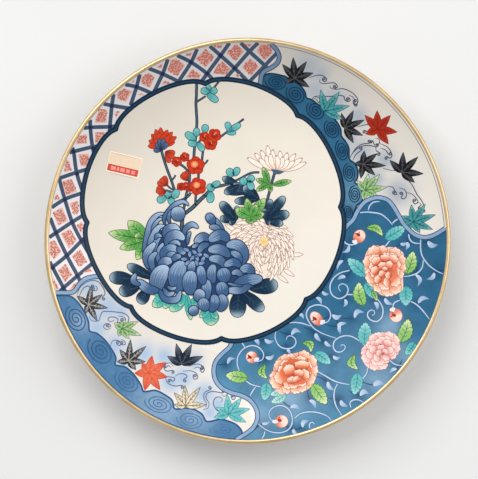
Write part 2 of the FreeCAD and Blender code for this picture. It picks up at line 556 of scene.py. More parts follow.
# A paint is a material and its slot.
COBALT = (paint_material("underglaze_cobalt", 0.3, 0.10, 260.0), "underglaze_blue")
WASH = (paint_material("bare_ground", 0.3, 0.015, 40.0), "clear_glaze")
INDIGO = (paint_material("indigo_wash", 0.3, 0.16, 75.0), "underglaze_blue")
ENAMEL = (paint_material("overglaze_enamel", 0.24, 0.08, 420.0), "overglaze_enamel")
GLAZED = mottled_material("clear_glaze", rgb(236, 229, 219), rgb(242, 236, 227), 0.28, 14.0)
BISCUIT = mottled_material("bare_biscuit", rgb(222, 210, 192), rgb(234, 225, 210), 0.85, 900.0, bump=0.5)
GOLD = mottled_material("fired_gold", rgb(212, 182, 136), rgb(228, 202, 156), 0.3, 70.0, metallic=0.8)
PAPER = (
    mottled_material("label_paper", rgb(236, 208, 178), rgb(242, 218, 190), 0.9, 1200.0, bump=0.4),
    "label_paper",
)
INK = (paint_material("label_ink", 0.75, 0.05, 900.0), "label_paper")
LINE_BLUE = mottled_material("blue_lines", rgb(36, 62, 104), rgb(58, 88, 136), 0.3, 90.0)


# ---------------------------------------------------------------- the plate itself

# How many stretches each arc of the section is turned in.
LOWER_CUTS = 28
UPPER_CUTS = 24
LIP_CUTS = 14
BACK_CUTS = 30
GILT_FACE_CUTS = 4
GILT_BACK_CUTS = 3
GILT_SEGMENTS = 512
WELL_STEP = 2.0


def glazed_skin():
    """The outer glaze, turned finely: face, lip and back, down to the glaze line on the foot."""
    face = [(r, float(face_height(r))) for r in steps(0, WELL_RADIUS, WELL_STEP)]
    wall = LOWER.points(LOWER_CUTS, GLAZE) + UPPER.points(UPPER_CUTS, GLAZE)[1:]
    lip = LIP.points(LIP_CUTS, GLAZE)[1:]
    back = BACK.points(BACK_CUTS, GLAZE)[1:]
    share = (GLAZE_LINE_HEIGHT - FOOT_TOE[1]) / (FOOT_ROOT[1] - FOOT_TOE[1])
    line = (FOOT_TOE[0] + (FOOT_ROOT[0] - FOOT_TOE[0]) * share, GLAZE_LINE_HEIGHT)
    outline = face + wall[1:] + lip + back + [(line[0] + GLAZE, line[1]), line]
    skin = lathe("glazed_skin", outline, GLAZED, "clear_glaze")
    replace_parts(skin, "outer_glaze")


def gilded_rim():
    """The gold band over the rim, from the edge of the painting to a little way down the back."""
    on = GLAZE + GILDING
    reach = math.degrees(GILT_FACE_WIDTH / UPPER.radius)
    under = math.degrees(GILT_BACK_WIDTH / BACK.radius)
    inner = UPPER.points(GILT_FACE_CUTS, on, UPPER.last - reach, UPPER.last)
    lip = LIP.points(LIP_CUTS, on)[1:]
    back = BACK.points(GILT_BACK_CUTS, on, BACK.first, BACK.first - under)[1:]
    start = UPPER.at(UPPER.last - reach, GLAZE)
    end = BACK.at(BACK.first - under, GLAZE)
    rim = lathe("gilded_rim", [start, *inner, *lip, *back, end], GOLD, "gilding", segments=GILT_SEGMENTS)
    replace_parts(rim, "gilt_rim_band")


def carried_over():
    """The CAD's own bare foot and base glaze stay as they are, in their real materials."""
    for node, material in (("porcelain_body", BISCUIT), ("base_glaze", GLAZED)):
        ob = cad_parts[node]
        ob.data.materials.clear()
        ob.data.materials.append(material)


# ---------------------------------------------------------------- the medallion

MEDALLION = (-25.6, 21.5)
# Each cusp's turn, and how far the lobe that follows it reaches to the inside of the border.
LOBES = (
    (93.5, 97.0), (139.6, 96.6), (184.8, 94.9), (229.2, 95.4), (273.8, 96.9), (316.8, 96.8), (362.2, 96.4),
    (408.8, 98.0),
)
CUSP_DEPTH = 3.7
CUSP_SPREAD = 3.5
BORDER_WIDTH = 3.7
LOBE_CUTS = 26


def medallion_outline(offset=0.0):
    """The inside of the border: eight round lobes, and a short cusp inward between each and the next."""
    cusps = [turn for turn, reach in LOBES] + [LOBES[0][0] + 360]
    crowns = [(first + last) / 2 for first, last in zip(cusps, cusps[1:])]
    reaches = [reach for turn, reach in LOBES]
    line = []
    for first, last in zip(cusps, cusps[1:]):
        # The points stand closer together towards the cusps.
        shares = (1 - np.cos(np.arange(LOBE_CUTS) / LOBE_CUTS * math.pi)) / 2
        for turn in first + (last - first) * shares:
            dip = math.exp((first - turn) / CUSP_SPREAD) + math.exp((turn - last) / CUSP_SPREAD)
            reach = np.interp(turn, crowns, reaches, period=360) - CUSP_DEPTH * dip
            line.append(polar(MEDALLION, reach + offset, turn))
    return np.array(line)


MEDALLION_COAT = 16  # over the sea and the peony field, so that its edge is clean
BOUQUET_COAT = 19
GROUND_UNDER_BORDER = 0.7  # how far the ground runs on under the border, in its widths
BORDER_STRIPE_WIDTH = 1.2
# The cream ground is darker at its top left and lighter at its lower right: painted shade and painted light.
MEDALLION_GROUND_WITH_PAINTED_SHADE = wash((-80, 90), (10, -40), rgb(218, 210, 196), rgb(230, 221, 206), rgb(236, 228, 215))
BORDER_NAVY = rgb(16, 36, 56)
BORDER_STRIPE = rgb(30, 64, 90)


def medallion():
    ground = Painting("medallion_ground", WASH)
    ground.fill(medallion_outline(BORDER_WIDTH * GROUND_UNDER_BORDER), MEDALLION_COAT, MEDALLION_GROUND_WITH_PAINTED_SHADE, 2.4)
    ground.drape()
    border = Painting("medallion_border", COBALT)
    middle = medallion_outline(BORDER_WIDTH / 2)
    border.line(middle, BORDER_WIDTH, MEDALLION_COAT + 1, BORDER_NAVY, closed=True)
    border.line(middle, BORDER_STRIPE_WIDTH, MEDALLION_COAT + 2, BORDER_STRIPE, closed=True)
    border.drape()


# ---------------------------------------------------------------- the lattice

STRIPS = (
    ((-132, 72), (-129.5, 66.5), (-127, 50), (-121, 32)),
    ((-141, 49), (-136, 31), (-130.5, 14), (-123.5, 0), (-114, -16)),
    ((-148, 20), (-142.5, 6), (-134.5, -11), (-126.5, -26), (-121, -38)),
    ((-149, -12), (-145, -20), (-137, -35), (-134, -41)), ((-117, 93), (-117, 84.5), (-115, 68), (-111, 58)),
    ((-99.5, 110), (-101, 100.5), (-102.5, 84), (-103, 78)), ((-79.5, 127), (-82.5, 115), (-87, 101)),
    ((-59, 136), (-63.2, 124.3), (-70, 110)), ((-36.5, 145), (-42, 133), (-51, 119)),
    ((-13, 148), (-20, 138), (-30, 124.5), (-36, 116)), ((8.5, 148), (1.5, 141), (-9.5, 128.5), (-18, 119)),
    ((23, 141), (13, 130.5), (1, 118)), ((-143, 45.5), (-136, 48), (-127, 51), (-117, 54)),
    ((-147, 24), (-136, 31), (-122, 36)), ((-150, 1), (-142.5, 6), (-130.5, 14), (-119, 21)),
    ((-147, -21), (-134.5, -11), (-123.5, 0), (-115, 7)),
    ((-140, -38), (-137, -35), (-126.5, -26), (-112, -14)),
    ((-133, 65.5), (-129.5, 66.5), (-115, 70), (-105, 71)),
    ((-124, 83.5), (-117, 84.5), (-102, 85), (-94, 86)), ((-109, 102.5), (-101, 100.8), (-84, 98)),
    ((-94, 117), (-82.5, 114.5), (-68, 108.5)), ((-75, 129), (-63.2, 124.3), (-50, 118)),
    ((-53, 138.5), (-42, 133), (-30, 124.5), (-24, 118)), ((-28, 145), (-20, 138), (-9.5, 128.5), (2, 117)),
    ((-5, 147.5), (1.5, 141), (13, 130.5), (18, 125)),
)
CROSSINGS = (
    (-129.5, 66.5), (-127, 50), (-136, 31), (-130.5, 14), (-123.5, 0), (-142.5, 6), (-134.5, -11),
    (-126.5, -26), (-145, -20), (-137, -35), (-117, 84.5), (-115, 69), (-101, 100.6), (-102.3, 85),
    (-82.5, 114.7), (-63.2, 124.3), (-42, 133), (-20, 138), (-30, 124.5), (1.5, 141), (-9.5, 128.5),
    (13, 130.5),
)
CELLS = (
    ((-31, 143), (-24.5, 137), (-31, 129.2), (-38.6, 135.5)),
    ((-57, 135), (-53, 135.6), (-46.7, 131), (-52, 122.5), (-59.5, 126.5)),
    ((-41, 128), (-34.5, 123.5), (-36, 121), (-46, 121.5)),
    ((-19, 134), (-12.5, 128.3), (-16, 123.5), (-25.3, 124.5), (-24.5, 127.5)),
    ((-8, 146.6), (-2.5, 141), (-9, 134), (-15.6, 140)), ((2, 136), (8.5, 130), (2.5, 123), (-4, 129)),
    ((9.5, 146.6), (15.5, 146), (19, 140.3), (13, 134.5), (7, 141)), ((-25, 145), (-18, 146), (-20.5, 143)),
    ((-46, 138.7), (-40.5, 140.8), (-43, 137)), ((-2, 146.3), (4, 146.5), (1, 144)),
    ((-68, 129.3), (-63, 132.2), (-64, 128.5)), ((-64.5, 116), (-62, 119.5), (-57, 118)),
    ((-8.5, 124), (-5, 124.4), (-7, 121.5)),
    ((-79, 122), (-73.5, 125.3), (-69, 122), (-72.5, 114), (-79, 117)),
    ((-96.8, 110), (-92, 113.5), (-86, 111.5), (-90.5, 103.5), (-97, 106)),
    ((-110, 98.5), (-104.5, 97.5), (-105, 88), (-113.5, 88), (-112.5, 92.5)),
    ((-126, 78), (-119.7, 79.5), (-119.5, 72.5), (-127.5, 72)),
    ((-113.5, 81), (-106, 81), (-110.5, 74.5), (-113.5, 72.5)),
    ((-126, 64.5), (-118.5, 65), (-117.3, 60.5), (-119.5, 55.5), (-124, 55.5)),
    ((-135, 61), (-132.5, 59), (-131, 52.5), (-136.5, 51)), ((-98.5, 96.5), (-94.8, 96), (-98, 92)),
    ((-82, 108.5), (-79, 110.3), (-76.5, 108.5)), ((-87, 118.5), (-84, 120.2), (-84.3, 117.8)),
    ((-138, 44.6), (-130.6, 46), (-127, 36.8), (-135, 34)),
    ((-132.6, 28), (-126.3, 30), (-125.6, 21.5), (-129, 19)), ((-142, 35), (-139.5, 31.5), (-144, 30)),
    ((-145, 21.3), (-138, 24.8), (-133.6, 15), (-141, 11.3)),
    ((-139, 5.3), (-132, 9), (-127, 0.5), (-133, -6)), ((-127, 11), (-124, 14.3), (-121.2, 11.5), (-124, 6)),
    ((-147.3, -1), (-143.5, 0.8), (-138.6, -8), (-144, -13.8), (-147.3, -10)),
    ((-131, -11.5), (-124.5, -6), (-119.3, -15.5), (-125, -19.5)),
    ((-141, -22), (-135.5, -17), (-130.5, -25), (-136, -31)), ((-123, -24), (-117, -20), (-115.5, -23)),
    ((-133, -36), (-126.5, -30), (-125.5, -34), (-128, -36.5)),
    ((-144.8, -27), (-140.3, -35.5), (-143, -36.5)),
)

# The lattice's colours, and the coats that its parts start at. The ground and the cells' pink are darker
# towards the top of the plate: painted shade.
LATTICE_GROUND_WITH_PAINTED_SHADE = wash((-10, 150), (-140, 0), rgb(206, 200, 200), rgb(222, 217, 218), rgb(236, 231, 232))
STRIP_BLUE = rgb(66, 82, 104)
KNOT_BLUE = rgb(30, 42, 78)
CELL_PINK_WITH_PAINTED_SHADE = wash((0, 150), (-140, 0), rgb(212, 154, 140), rgb(236, 180, 164))
SCROLL_RED = rgb(172, 82, 68)
GROUND_COAT = 1
STRIP_COAT = 2.4
KNOT_COAT = 4
CELL_COAT = 5
SCROLL_COAT = 6
STRIP_WIDTH = 2.9
KNOT_SIZE = 3.2
SCROLL_WIDTH = 0.56
SCROLL_PITCH = 2.1
SCROLL_SEED = 7
ONE_WAY = 12  # this many of the strips run one way, and the others lie over them


def scribble(cell, scribbles):
    """Small curls that fill a cell, as if drawn with one pen stroke after another."""
    corners = np.array(cell, float)
    inner = corners.mean(0) + (corners - corners.mean(0)) * 0.93
    for p in lattice_points(corners.min(0), corners.max(0), SCROLL_PITCH):
        if inside(np.array([p]), inner)[0]:
            start = scribbles.random() * 360
            turns = 0.55 + scribbles.random() * 0.45
            yield spiral(p, SCROLL_PITCH * 0.42, SCROLL_PITCH * 0.2, start, turns, 7)


def lattice():
    outline = np.vstack([rim_arc(PAINT_EDGE, 80, 196), rim_arc(100, 196, 80, 3.0)])
    ground = Painting("lattice_ground", WASH)
    ground.fill(outline, GROUND_COAT, LATTICE_GROUND_WITH_PAINTED_SHADE, 2.2)
    ground.drape()
    strips = Painting("lattice_strips", COBALT)
    for index, strip in enumerate(STRIPS):
        strips.line(smooth_to_gold(strip), STRIP_WIDTH, STRIP_COAT + index // ONE_WAY, STRIP_BLUE)
    for node in CROSSINGS:
        strips.fill(oval(node, KNOT_SIZE, KNOT_SIZE), KNOT_COAT, KNOT_BLUE)
    strips.drape()
    cells = Painting("lattice_cells", ENAMEL)
    pens = Painting("lattice_scrolls", ENAMEL)
    scribbles = random.Random(SCROLL_SEED)
    for cell in CELLS:
        cells.fill(cell, CELL_COAT, CELL_PINK_WITH_PAINTED_SHADE)
        for curl in scribble(cell, scribbles):
            pens.line(curl, SCROLL_WIDTH, SCROLL_COAT, SCROLL_RED)
    cells.drape()
    pens.drape()


# ---------------------------------------------------------------- the sea and its maple leaves

WAVE_COAT = 7  # the sea starts here, and covers the ends of the lattice's strips
LEAF_COAT = 12
BAND_COAT = 15

UPPER_POOL_BLUE = rgb(170, 177, 184)
LOWER_POOL_BLUE = rgb(166, 188, 212)
BAND_BLUE = rgb(138, 166, 196)
# The upper band's blue is the band's blue darkened: painted shade, as the lower band lies on the lit side.
SHADED_UPPER_BAND_BLUE = rgb(110, 132, 156)
BAND_INK = rgb(44, 62, 92)

UPPER_BAND = (
    (18.3, 149), (18.3, 146), (21.8, 142), (23.6, 137), (22.3, 132.5), (18, 129), (13, 126.5), (10.5, 123),
    (9.7, 117.5), (9, 112),
)
LOWER_BAND = ((-146, -38.5), (-140, -38.6), (-130, -38), (-125, -32), (-120, -28), (-112, -26.5), (-107, -27))
UPPER_WATER = (
    (11, 117), (12, 122), (15, 124.3), (20, 124.3), (26, 123), (29, 122), (32, 119), (36, 118), (40, 115),
    (43, 110.5), (44, 106.5), (48, 105), (52, 102), (56.5, 98.5), (60, 95), (63.5, 92), (67, 88), (69.5, 83),
    (70, 78), (73, 74), (75.5, 69), (76, 61), (80, 57.5), (82, 53), (82, 47), (80, 43.5), (84, 40), (86, 34),
    (85, 29), (82, 27), (80.5, 24), (79, 20), (76, 13), (66, 8), (60, 40), (40, 80), (14, 106),
)
LOWER_WATER_SHORE = (
    (-143, -41), (-133, -41), (-127, -45), (-122, -52), (-118.5, -60), (-117.5, -67), (-112, -69),
    (-106, -74), (-101, -81), (-98, -87), (-98.5, -92), (-96, -93), (-91, -94), (-86, -98), (-82, -103),
    (-79, -108), (-77.5, -112), (-74, -112), (-68, -111.5), (-61, -115), (-56, -119), (-54, -125),
    (-46, -124.5), (-40, -125.5), (-34, -129), (-31, -134), (-28, -134.5), (-20, -133), (-12, -135),
    (-7, -138), (-4, -143), (-7, -149),
)
# Each whirlpool: its centre, how far it reaches along and across, and its tilt.
UPPER_WHIRLPOOLS = (
    ((21.5, 118), 8.2, 5.6, -8), ((36, 109), 8.0, 6.6, -40), ((51, 97), 7.8, 6.4, -45),
    ((63, 83), 7.4, 5.6, -62), ((70.5, 67), 8.0, 4.8, -75), ((76, 50.5), 7.2, 4.8, -82),
    ((80, 34.5), 6.6, 4.6, -88), ((75, 22), 5.6, 3.8, -65),
)
LOWER_WHIRLPOOLS = (
    ((-127.5, -58), 10.5, 7.6, -62), ((-109.5, -82), 11.5, 8.4, -50), ((-89.5, -104.5), 10.5, 7.4, -38),
    ((-66, -121.5), 11.0, 6.6, -18), ((-42.5, -133.5), 10.5, 6.4, -12), ((-17, -140.5), 11.5, 6.2, -4),
)
# The upper water is a little darker at its top end: painted shade.
UPPER_WATER_BLUE_WITH_PAINTED_SHADE = wash((20, 118), (50, 97), rgb(40, 88, 113), rgb(48, 102, 134))
# The colours of either sea: the water, where it pales, its lines, its faintest lines, its eyes and its foam.
# In the lower sea the paling and the faint lines are painted reflection.
UPPER_BLUES = (
    UPPER_WATER_BLUE_WITH_PAINTED_SHADE, rgb(92, 136, 162), rgb(18, 52, 80), rgb(18, 52, 80), rgb(28, 78, 108), rgb(66, 72, 94),
)
LOWER_BLUES = (
    rgb(76, 122, 160), rgb(134, 162, 190), rgb(38, 82, 126), rgb(84, 124, 162), rgb(58, 106, 148),
    rgb(90, 98, 128),
)
# The whirlpools' lines grow faint from the first of these places to the second: painted reflection, as the
# glaze's glare near the bottom of the rim washes them out.
INK_FADES_INTO_PAINTED_GLARE = ((-110, -70), (-40, -130))
# The bare ground is greyer at the top, which is turned away from the light.
SEA_GROUND = wash((40, 140), (130, 30), rgb(204, 197, 187), rgb(222, 214, 203), rgb(234, 226, 215))
RIM_LINE_GREY = rgb(120, 118, 122)

WHIRLPOOL_WIDTH = 0.85
SHORE_WIDTH = 1.3
FOAM_WIDTH = 0.74
MAPLE_RIM_WIDTH = 0.42
MAPLE_VEIN_WIDTH = 0.55
MAPLE_SIDE_VEIN_WIDTH = 0.34
BAND_WIDTH = 3.7
BAND_FILL_WIDTH = 2.5


def whirlpool(piece, centre, along, across, tilt, ink):
    """An oval of stiller water with a spiral drawn in it."""
    curl = spiral((0, 0), 1.0, 0.06, 180, 3.1, 110) * (along, across)
    piece.line(turned(curl, tilt) + centre, WHIRLPOOL_WIDTH, WAVE_COAT + 3.2, ink)


def maple(name, base, tips, width, style):
    """A maple leaf: one pointed lobe to each tip, with a vein down it and small side veins."""
    heart, tip_colour, rim, vein = style
    leaf = Painting("maple_leaf_" + name, ENAMEL)
    base = np.array(base, float)
    for index, tip in enumerate(tips):
        lobe = petal(base, tip, width * 0.9, root=0.7, end=1.15)
        colour = wash(base, tip, heart, heart, tip_colour)
        leaf.rimmed(lobe, LEAF_COAT + 0.12 * index, colour, rim, MAPLE_RIM_WIDTH, lift=0.06)
    coat = LEAF_COAT + 1.4
    for tip in tips:
        along = np.array(tip, float) - base
        side = quarter_turn(along) / np.linalg.norm(along) * width * 0.24
        spine = base + along * np.linspace(0, 0.74, 6)[:, None]
        leaf.line(spine, MAPLE_VEIN_WIDTH, coat, vein, ends=(1, 0.2))
        for share in (0.3, 0.46, 0.62):
            root = base + along * share
            for out in (side, -side):
                side_vein = [root, root + along * 0.06 + out * 0.5, root + along * 0.12 + out * (1.2 - share)]
                leaf.line(side_vein, MAPLE_SIDE_VEIN_WIDTH, coat, vein)
    leaf.drape()


# The colours of a maple leaf: its heart, its tips, its rim and its veins.
BLACK_MAPLE = (rgb(16, 19, 26), rgb(84, 90, 100), rgb(28, 34, 44), rgb(84, 80, 80))
GREY_MAPLE = (rgb(44, 48, 58), rgb(126, 132, 142), rgb(32, 38, 50), rgb(178, 166, 150))
NAVY_MAPLE = (rgb(20, 30, 44), rgb(106, 118, 132), rgb(26, 34, 48), rgb(72, 84, 98))
TEAL_MAPLE = (rgb(70, 150, 152), rgb(120, 178, 176), rgb(38, 94, 102), rgb(26, 84, 92))
PALE_TEAL_MAPLE = (rgb(104, 186, 186), rgb(140, 206, 204), rgb(60, 134, 138), rgb(58, 138, 142))
RED_MAPLE = (rgb(168, 44, 22), rgb(182, 62, 40), rgb(150, 44, 28), rgb(132, 30, 16))
ORANGE_MAPLE = (rgb(226, 110, 78), rgb(198, 58, 34), rgb(196, 68, 44), rgb(210, 84, 56))
GREEN_MAPLE = (rgb(150, 190, 122), rgb(208, 218, 188), rgb(90, 102, 92), rgb(72, 112, 74))
BEIGE_MAPLE = (rgb(232, 214, 180), rgb(170, 168, 154), rgb(96, 88, 84), rgb(110, 98, 88))
# Each leaf: its name, its base, its tips, a lobe's width and its colours.
MAPLES = (
    ("1", (35, 121), ((28, 118), (26, 131.5), (34, 136.5), (44, 133.5), (49, 125), (46, 114.5)), 5.4,
     BLACK_MAPLE), ("2", (58, 96.5), ((54.5, 112.5), (68.5, 111), (76, 100.5), (71, 90.5)), 6.0, TEAL_MAPLE),
    ("3", (72.5, 84), ((70, 95), (79, 97), (87, 90), (86, 78.5), (79, 73)), 5.0, BLACK_MAPLE),
    ("4", (97, 83), ((88, 79.5), (87.5, 93.5), (96.5, 97), (106.5, 93.5), (111.5, 81), (105, 72)), 6.6,
     RED_MAPLE),
    ("5", (86, 57), ((80.5, 58), (87, 67), (96.5, 65), (103, 56), (95, 49), (84.5, 46.5)), 5.0, BLACK_MAPLE),
    ("6", (115, 51), ((106, 60), (116, 66), (127, 62.5), (131, 50), (124.5, 43.5)), 5.6, BLACK_MAPLE),
    ("7", (88, 37.5), ((81.5, 45), (90, 50), (98.5, 49.5), (104, 40), (97, 33), (86, 30.5)), 5.6,
     GREEN_MAPLE),
    ("8", (123.5, 14),
     ((114, 18.5), (122, 27), (132.5, 27.5), (140, 19.5), (138, 8.5), (128.5, 6), (118, 9.5)), 5.6,
     TEAL_MAPLE),
    ("9", (-118.5, -47.5),
     ((-120.5, -54), (-127, -41), (-116, -33), (-108, -40), (-104, -50), (-112, -59.5)), 4.8, GREY_MAPLE),
    ("10", (-93.5, -65.5), ((-96, -71), (-99, -61), (-91, -58.5), (-81.5, -60), (-79, -70.5), (-88, -73)),
     5.2, GREEN_MAPLE),
    ("11", (-88.5, -89.5), ((-97, -90), (-95, -81), (-87, -73.5), (-75.5, -78.5), (-76, -90), (-83, -96)),
     5.0, GREY_MAPLE),
    ("12", (-73.5, -98.5),
     ((-84, -98.5), (-78.5, -91), (-71, -85.5), (-60.5, -90.5), (-59.5, -101.5), (-65, -111),
      (-76.5, -111.5)), 6.8, ORANGE_MAPLE),
    ("13", (-49, -92), ((-59.5, -86), (-53, -76.5), (-41.5, -77), (-33, -86)), 6.2, NAVY_MAPLE),
    ("14", (-46, -123), ((-54.5, -122), (-54.5, -113), (-46.5, -107.5), (-35, -109), (-30.5, -122)), 5.2,
     BEIGE_MAPLE),
    ("15", (-14, -129), ((-25, -131.5), (-23, -124), (-15, -114.5), (-4.5, -117), (2, -125), (-1, -135)),
     6.0, PALE_TEAL_MAPLE),
)
# The foam is drawn with a pen, and every line here is one stroke.
UPPER_FOAM = (
    ((46, 121.5), (52, 123.3), (56, 123), (59, 120.5), (58, 118.5), (56.5, 119)),
    ((54, 120.3), (54, 118), (57, 117), (61, 117.5), (65, 117.5), (67, 115), (66, 113.8)),
    ((61.5, 115.5), (62, 113.8), (66, 112.8), (71, 113.3), (76, 111.5), (80, 108.5), (82.3, 104.5),
     (81, 101.5), (79, 102), (78.8, 104)),
    ((48, 105), (50, 107.5), (55, 107.8), (61, 107.5), (68, 108.3), (72, 107.5), (72, 106), (74, 103.8),
     (76.5, 104.5), (76, 106)), ((75.5, 108.5), (78.5, 107), (80, 104), (79.5, 102)),
    ((48.5, 106.5), (51, 105.5), (53, 103)), ((50, 107.5), (53, 106.5), (55, 104)),
    ((82, 85), (86, 86), (90, 86.5), (92.2, 83.6), (90.4, 80.4), (88.2, 82)),
    ((95.2, 76.4), (98, 75.6), (98, 72.4), (95, 71.4), (93.6, 74)),
    ((98, 72.8), (104, 70), (107, 66), (107.5, 63), (106, 61.5), (104.5, 62.5)),
    ((95.5, 70), (96, 67), (98, 66)), ((99, 69), (103, 67.5), (105, 64.5)),
    ((76, 61), (79, 66), (84, 70), (90, 71), (96, 70)), ((77, 63), (80.4, 68.4), (85, 71.8), (90.5, 72.6)),
    ((78.5, 60), (81, 64.5), (85, 67.5)),
    ((101, 54), (107, 52.5), (110, 52.3), (115, 50.5), (119, 46), (123, 41), (126, 35), (129, 31), (131, 27),
     (130, 23)), ((104, 40.5), (108, 40), (110, 37), (111.4, 34.8), (109.4, 34.6)),
    ((113, 39.5), (117, 38), (118.5, 34.5), (117, 31.5), (114.6, 32), (115.6, 34.4)),
    ((119, 36), (123, 34.5), (126, 31), (127, 29), (125, 27.4), (123.4, 29)),
    ((127, 29), (129.4, 27), (127.6, 25.4)),
)
LOWER_FOAM = (
    ((-127, -40), (-124, -34), (-118, -30), (-112, -30), (-108, -34), (-106, -39), (-108, -42)),
    ((-126, -43), (-123, -36.5), (-119.5, -33.6), (-116.5, -35)),
    ((-115.5, -33.6), (-112.4, -34), (-112, -36.6), (-114, -37.2)),
    ((-118, -56), (-116, -59.3), (-111, -59.5), (-109.5, -56), (-108, -53), (-104, -52.5), (-98, -53),
     (-92, -54), (-88.4, -57), (-89, -61)),
    ((-99, -58.8), (-101.4, -60.2), (-103.8, -59), (-102.8, -57), (-99, -56.8), (-96.4, -58.4),
     (-96.8, -60.8)), ((-96, -56), (-92.4, -56.6), (-90.6, -59), (-92, -61.2), (-94, -60)),
    ((-101.8, -65), (-104.6, -66), (-107, -64.4), (-106, -62), (-103, -61.8), (-101.8, -63.6),
     (-103.6, -64.2)), ((-102, -78), (-100.4, -74.6), (-97, -74), (-94.4, -75.6), (-95, -78), (-97, -77)),
    ((-94.2, -73.4), (-91.6, -74.6), (-90.8, -77), (-93, -77.4)),
    ((-55, -93.6), (-57.6, -90.8), (-61, -92), (-62, -95), (-60, -97), (-56, -96.4)),
    ((-57, -94.4), (-58.8, -92.8), (-60.2, -94.2)),
    ((-44, -93.5), (-38, -91.8), (-34, -92.8), (-32, -96), (-33.6, -98), (-35, -96.4)),
    ((-40, -95), (-37, -94), (-34.6, -95.2)),
    ((-48, -97), (-42, -96.8), (-38, -98.8), (-37, -102), (-39.6, -103), (-40.4, -101)),
    ((-54, -101), (-51, -99.2), (-46.6, -99.2), (-45, -101.4), (-47, -102.8)),
    ((-61, -101), (-57, -101.4), (-54, -102.6), (-55.4, -104.6), (-57, -103.4)),
    ((-61, -101.5), (-59.6, -105.6), (-54.6, -108), (-49, -107.6)),
    ((-33, -125.6), (-29.6, -124.6), (-28.6, -121), (-30.8, -117), (-30, -113.6), (-26, -112.2),
     (-18.6, -113.2)), ((-31, -124), (-30.4, -121), (-32.4, -117.4), (-31.8, -113), (-27.6, -110.8)),
    ((-19.2, -114.2), (-17, -115.8), (-14, -113.4), (-10.6, -114), (-9, -117), (-10.8, -118.2),
     (-12, -116.6)),
    ((-19.6, -120), (-18.6, -118), (-20.8, -116.2), (-24, -117.2), (-25.4, -121), (-23.6, -125),
     (-20.6, -127.6)),
)
UPPER_POOLS = (
    (45, 128, 12), (64, 104, 13), (50, 112, 10), (84, 66, 12), (112, 36, 12), (82, 92, 9), (102, 60, 9),
    (76, 76, 8), (54, 124, 8), (96, 46, 8),
)
# Where the blue water of either sea pales. In the lower sea, near the bottom of the rim, the paling is
# painted reflection of the glaze's glare.
UPPER_SHOALS = ((80, 36, 12),)
LOWER_PAINTED_GLARE = ((-64, -122, 22), (-38, -130, 14), (-124, -60, 8))
LOWER_POOLS = (
    (-118, -33, 9), (-114, -57, 8), (-104, -50, 11), (-95, -53, 7), (-112, -65, 9), (-99, -78, 9),
    (-94, -92, 7), (-62, -86, 8), (-77, -84, 9), (-57, -105, 9), (-48, -102, 9), (-22, -122, 8),
    (-32, -114, 10), (-28, -128, 7), (-40, -90, 7),
)


def band(piece, points, blue=BAND_BLUE):
    """The pale blue ribbon with dark edges that parts two fields of the painting."""
    line = smooth_to_gold(points)
    piece.line(line, BAND_WIDTH, BAND_COAT, BAND_INK)
    piece.line(line, BAND_FILL_WIDTH, BAND_COAT + 0.5, blue)


def curled(stroke):
    """A foam line that runs on into a small curl, the way that it was turning."""
    line = list(smooth(stroke))
    before, last = line[-2] - line[-3], line[-1] - line[-2]
    turn = 1 if before[0] * last[1] - before[1] * last[0] > 0 else -1
    heading = math.atan2(last[1], last[0])
    for k in range(13):
        # Each step turns a little further than the one before it, and is a little shorter.
        heading += turn * (0.34 + 0.02 * k)
        line.append(line[-1] + (0.56 - 0.022 * k) * np.array([math.cos(heading), math.sin(heading)]))
    return np.array(line)


def sea(name, ground, water, whirlpools, blues, water_paling, foam, pools, pool):
    """One of the two seas: its bare ground, its blue water with whirlpools, and its foam."""
    blue, pale, ink, faint, deep, foam_ink = blues
    field = Painting(name + "_sea_ground", WASH)
    field.fill(ground, WAVE_COAT, pooled(pools, SEA_GROUND, pool), 2.6)
    field.drape()
    shore = Painting(name + "_sea_water", COBALT)
    eyes = [(*centre, across) for centre, along, across, tilt in whirlpools]
    # In the lower sea the paling near the rim is painted reflection.
    colour = pooled(water_paling, pooled(eyes, blue, deep), pale)
    shore.rimmed(water, WAVE_COAT + 1, colour, ink, SHORE_WIDTH, lift=0.5, spacing=2.2)
    for place in whirlpools:
        whirlpool(shore, *place, wash(*INK_FADES_INTO_PAINTED_GLARE, ink, faint))
    shore.drape()
    pen = Painting(name + "_sea_foam", COBALT)
    for stroke in foam:
        line = curled(stroke)
        pen.line(line, FOAM_WIDTH, WAVE_COAT + 4, foam_ink, ends=(0.5, 1.1))
        pen.fill(oval(line[-1], 1.3, 1.1), WAVE_COAT + 4.2, foam_ink)
    pen.drape()


def waves():
    upper = np.vstack([smooth(UPPER_BAND), rim_arc(90, 70, 4), rim_arc(PAINT_EDGE, 2, 82.9)])
    sea("upper", upper, smooth(UPPER_WATER, closed=True), UPPER_WHIRLPOOLS, UPPER_BLUES, UPPER_SHOALS,
        UPPER_FOAM, UPPER_POOLS, UPPER_POOL_BLUE)
    lower = np.vstack([smooth(LOWER_BAND), rim_arc(86, 196, 262), rim_arc(PAINT_EDGE, 273, 194.7)])
    water = np.vstack([smooth_to_gold(LOWER_WATER_SHORE), rim_arc(PAINT_EDGE, 267.5, 196.2)])
    sea("lower", lower, water, LOWER_WHIRLPOOLS, LOWER_BLUES, LOWER_PAINTED_GLARE,
        LOWER_FOAM, LOWER_POOLS, LOWER_POOL_BLUE)
    ribbons = Painting("sea_bands", COBALT)
    band(ribbons, UPPER_BAND, SHADED_UPPER_BAND_BLUE)
    band(ribbons, LOWER_BAND)
    ribbons.drape()
    rim_line = Painting("upper_rim_line", COBALT)
    rim_line.line(rim_arc(146.9, 4, 81.5), 0.5, WAVE_COAT + 4, RIM_LINE_GREY)
    rim_line.drape()
    for leaf in MAPLES:
        maple(*leaf)


# ---------------------------------------------------------------- the peony field

FIELD_COAT = 12
FLOWER_COAT = 16

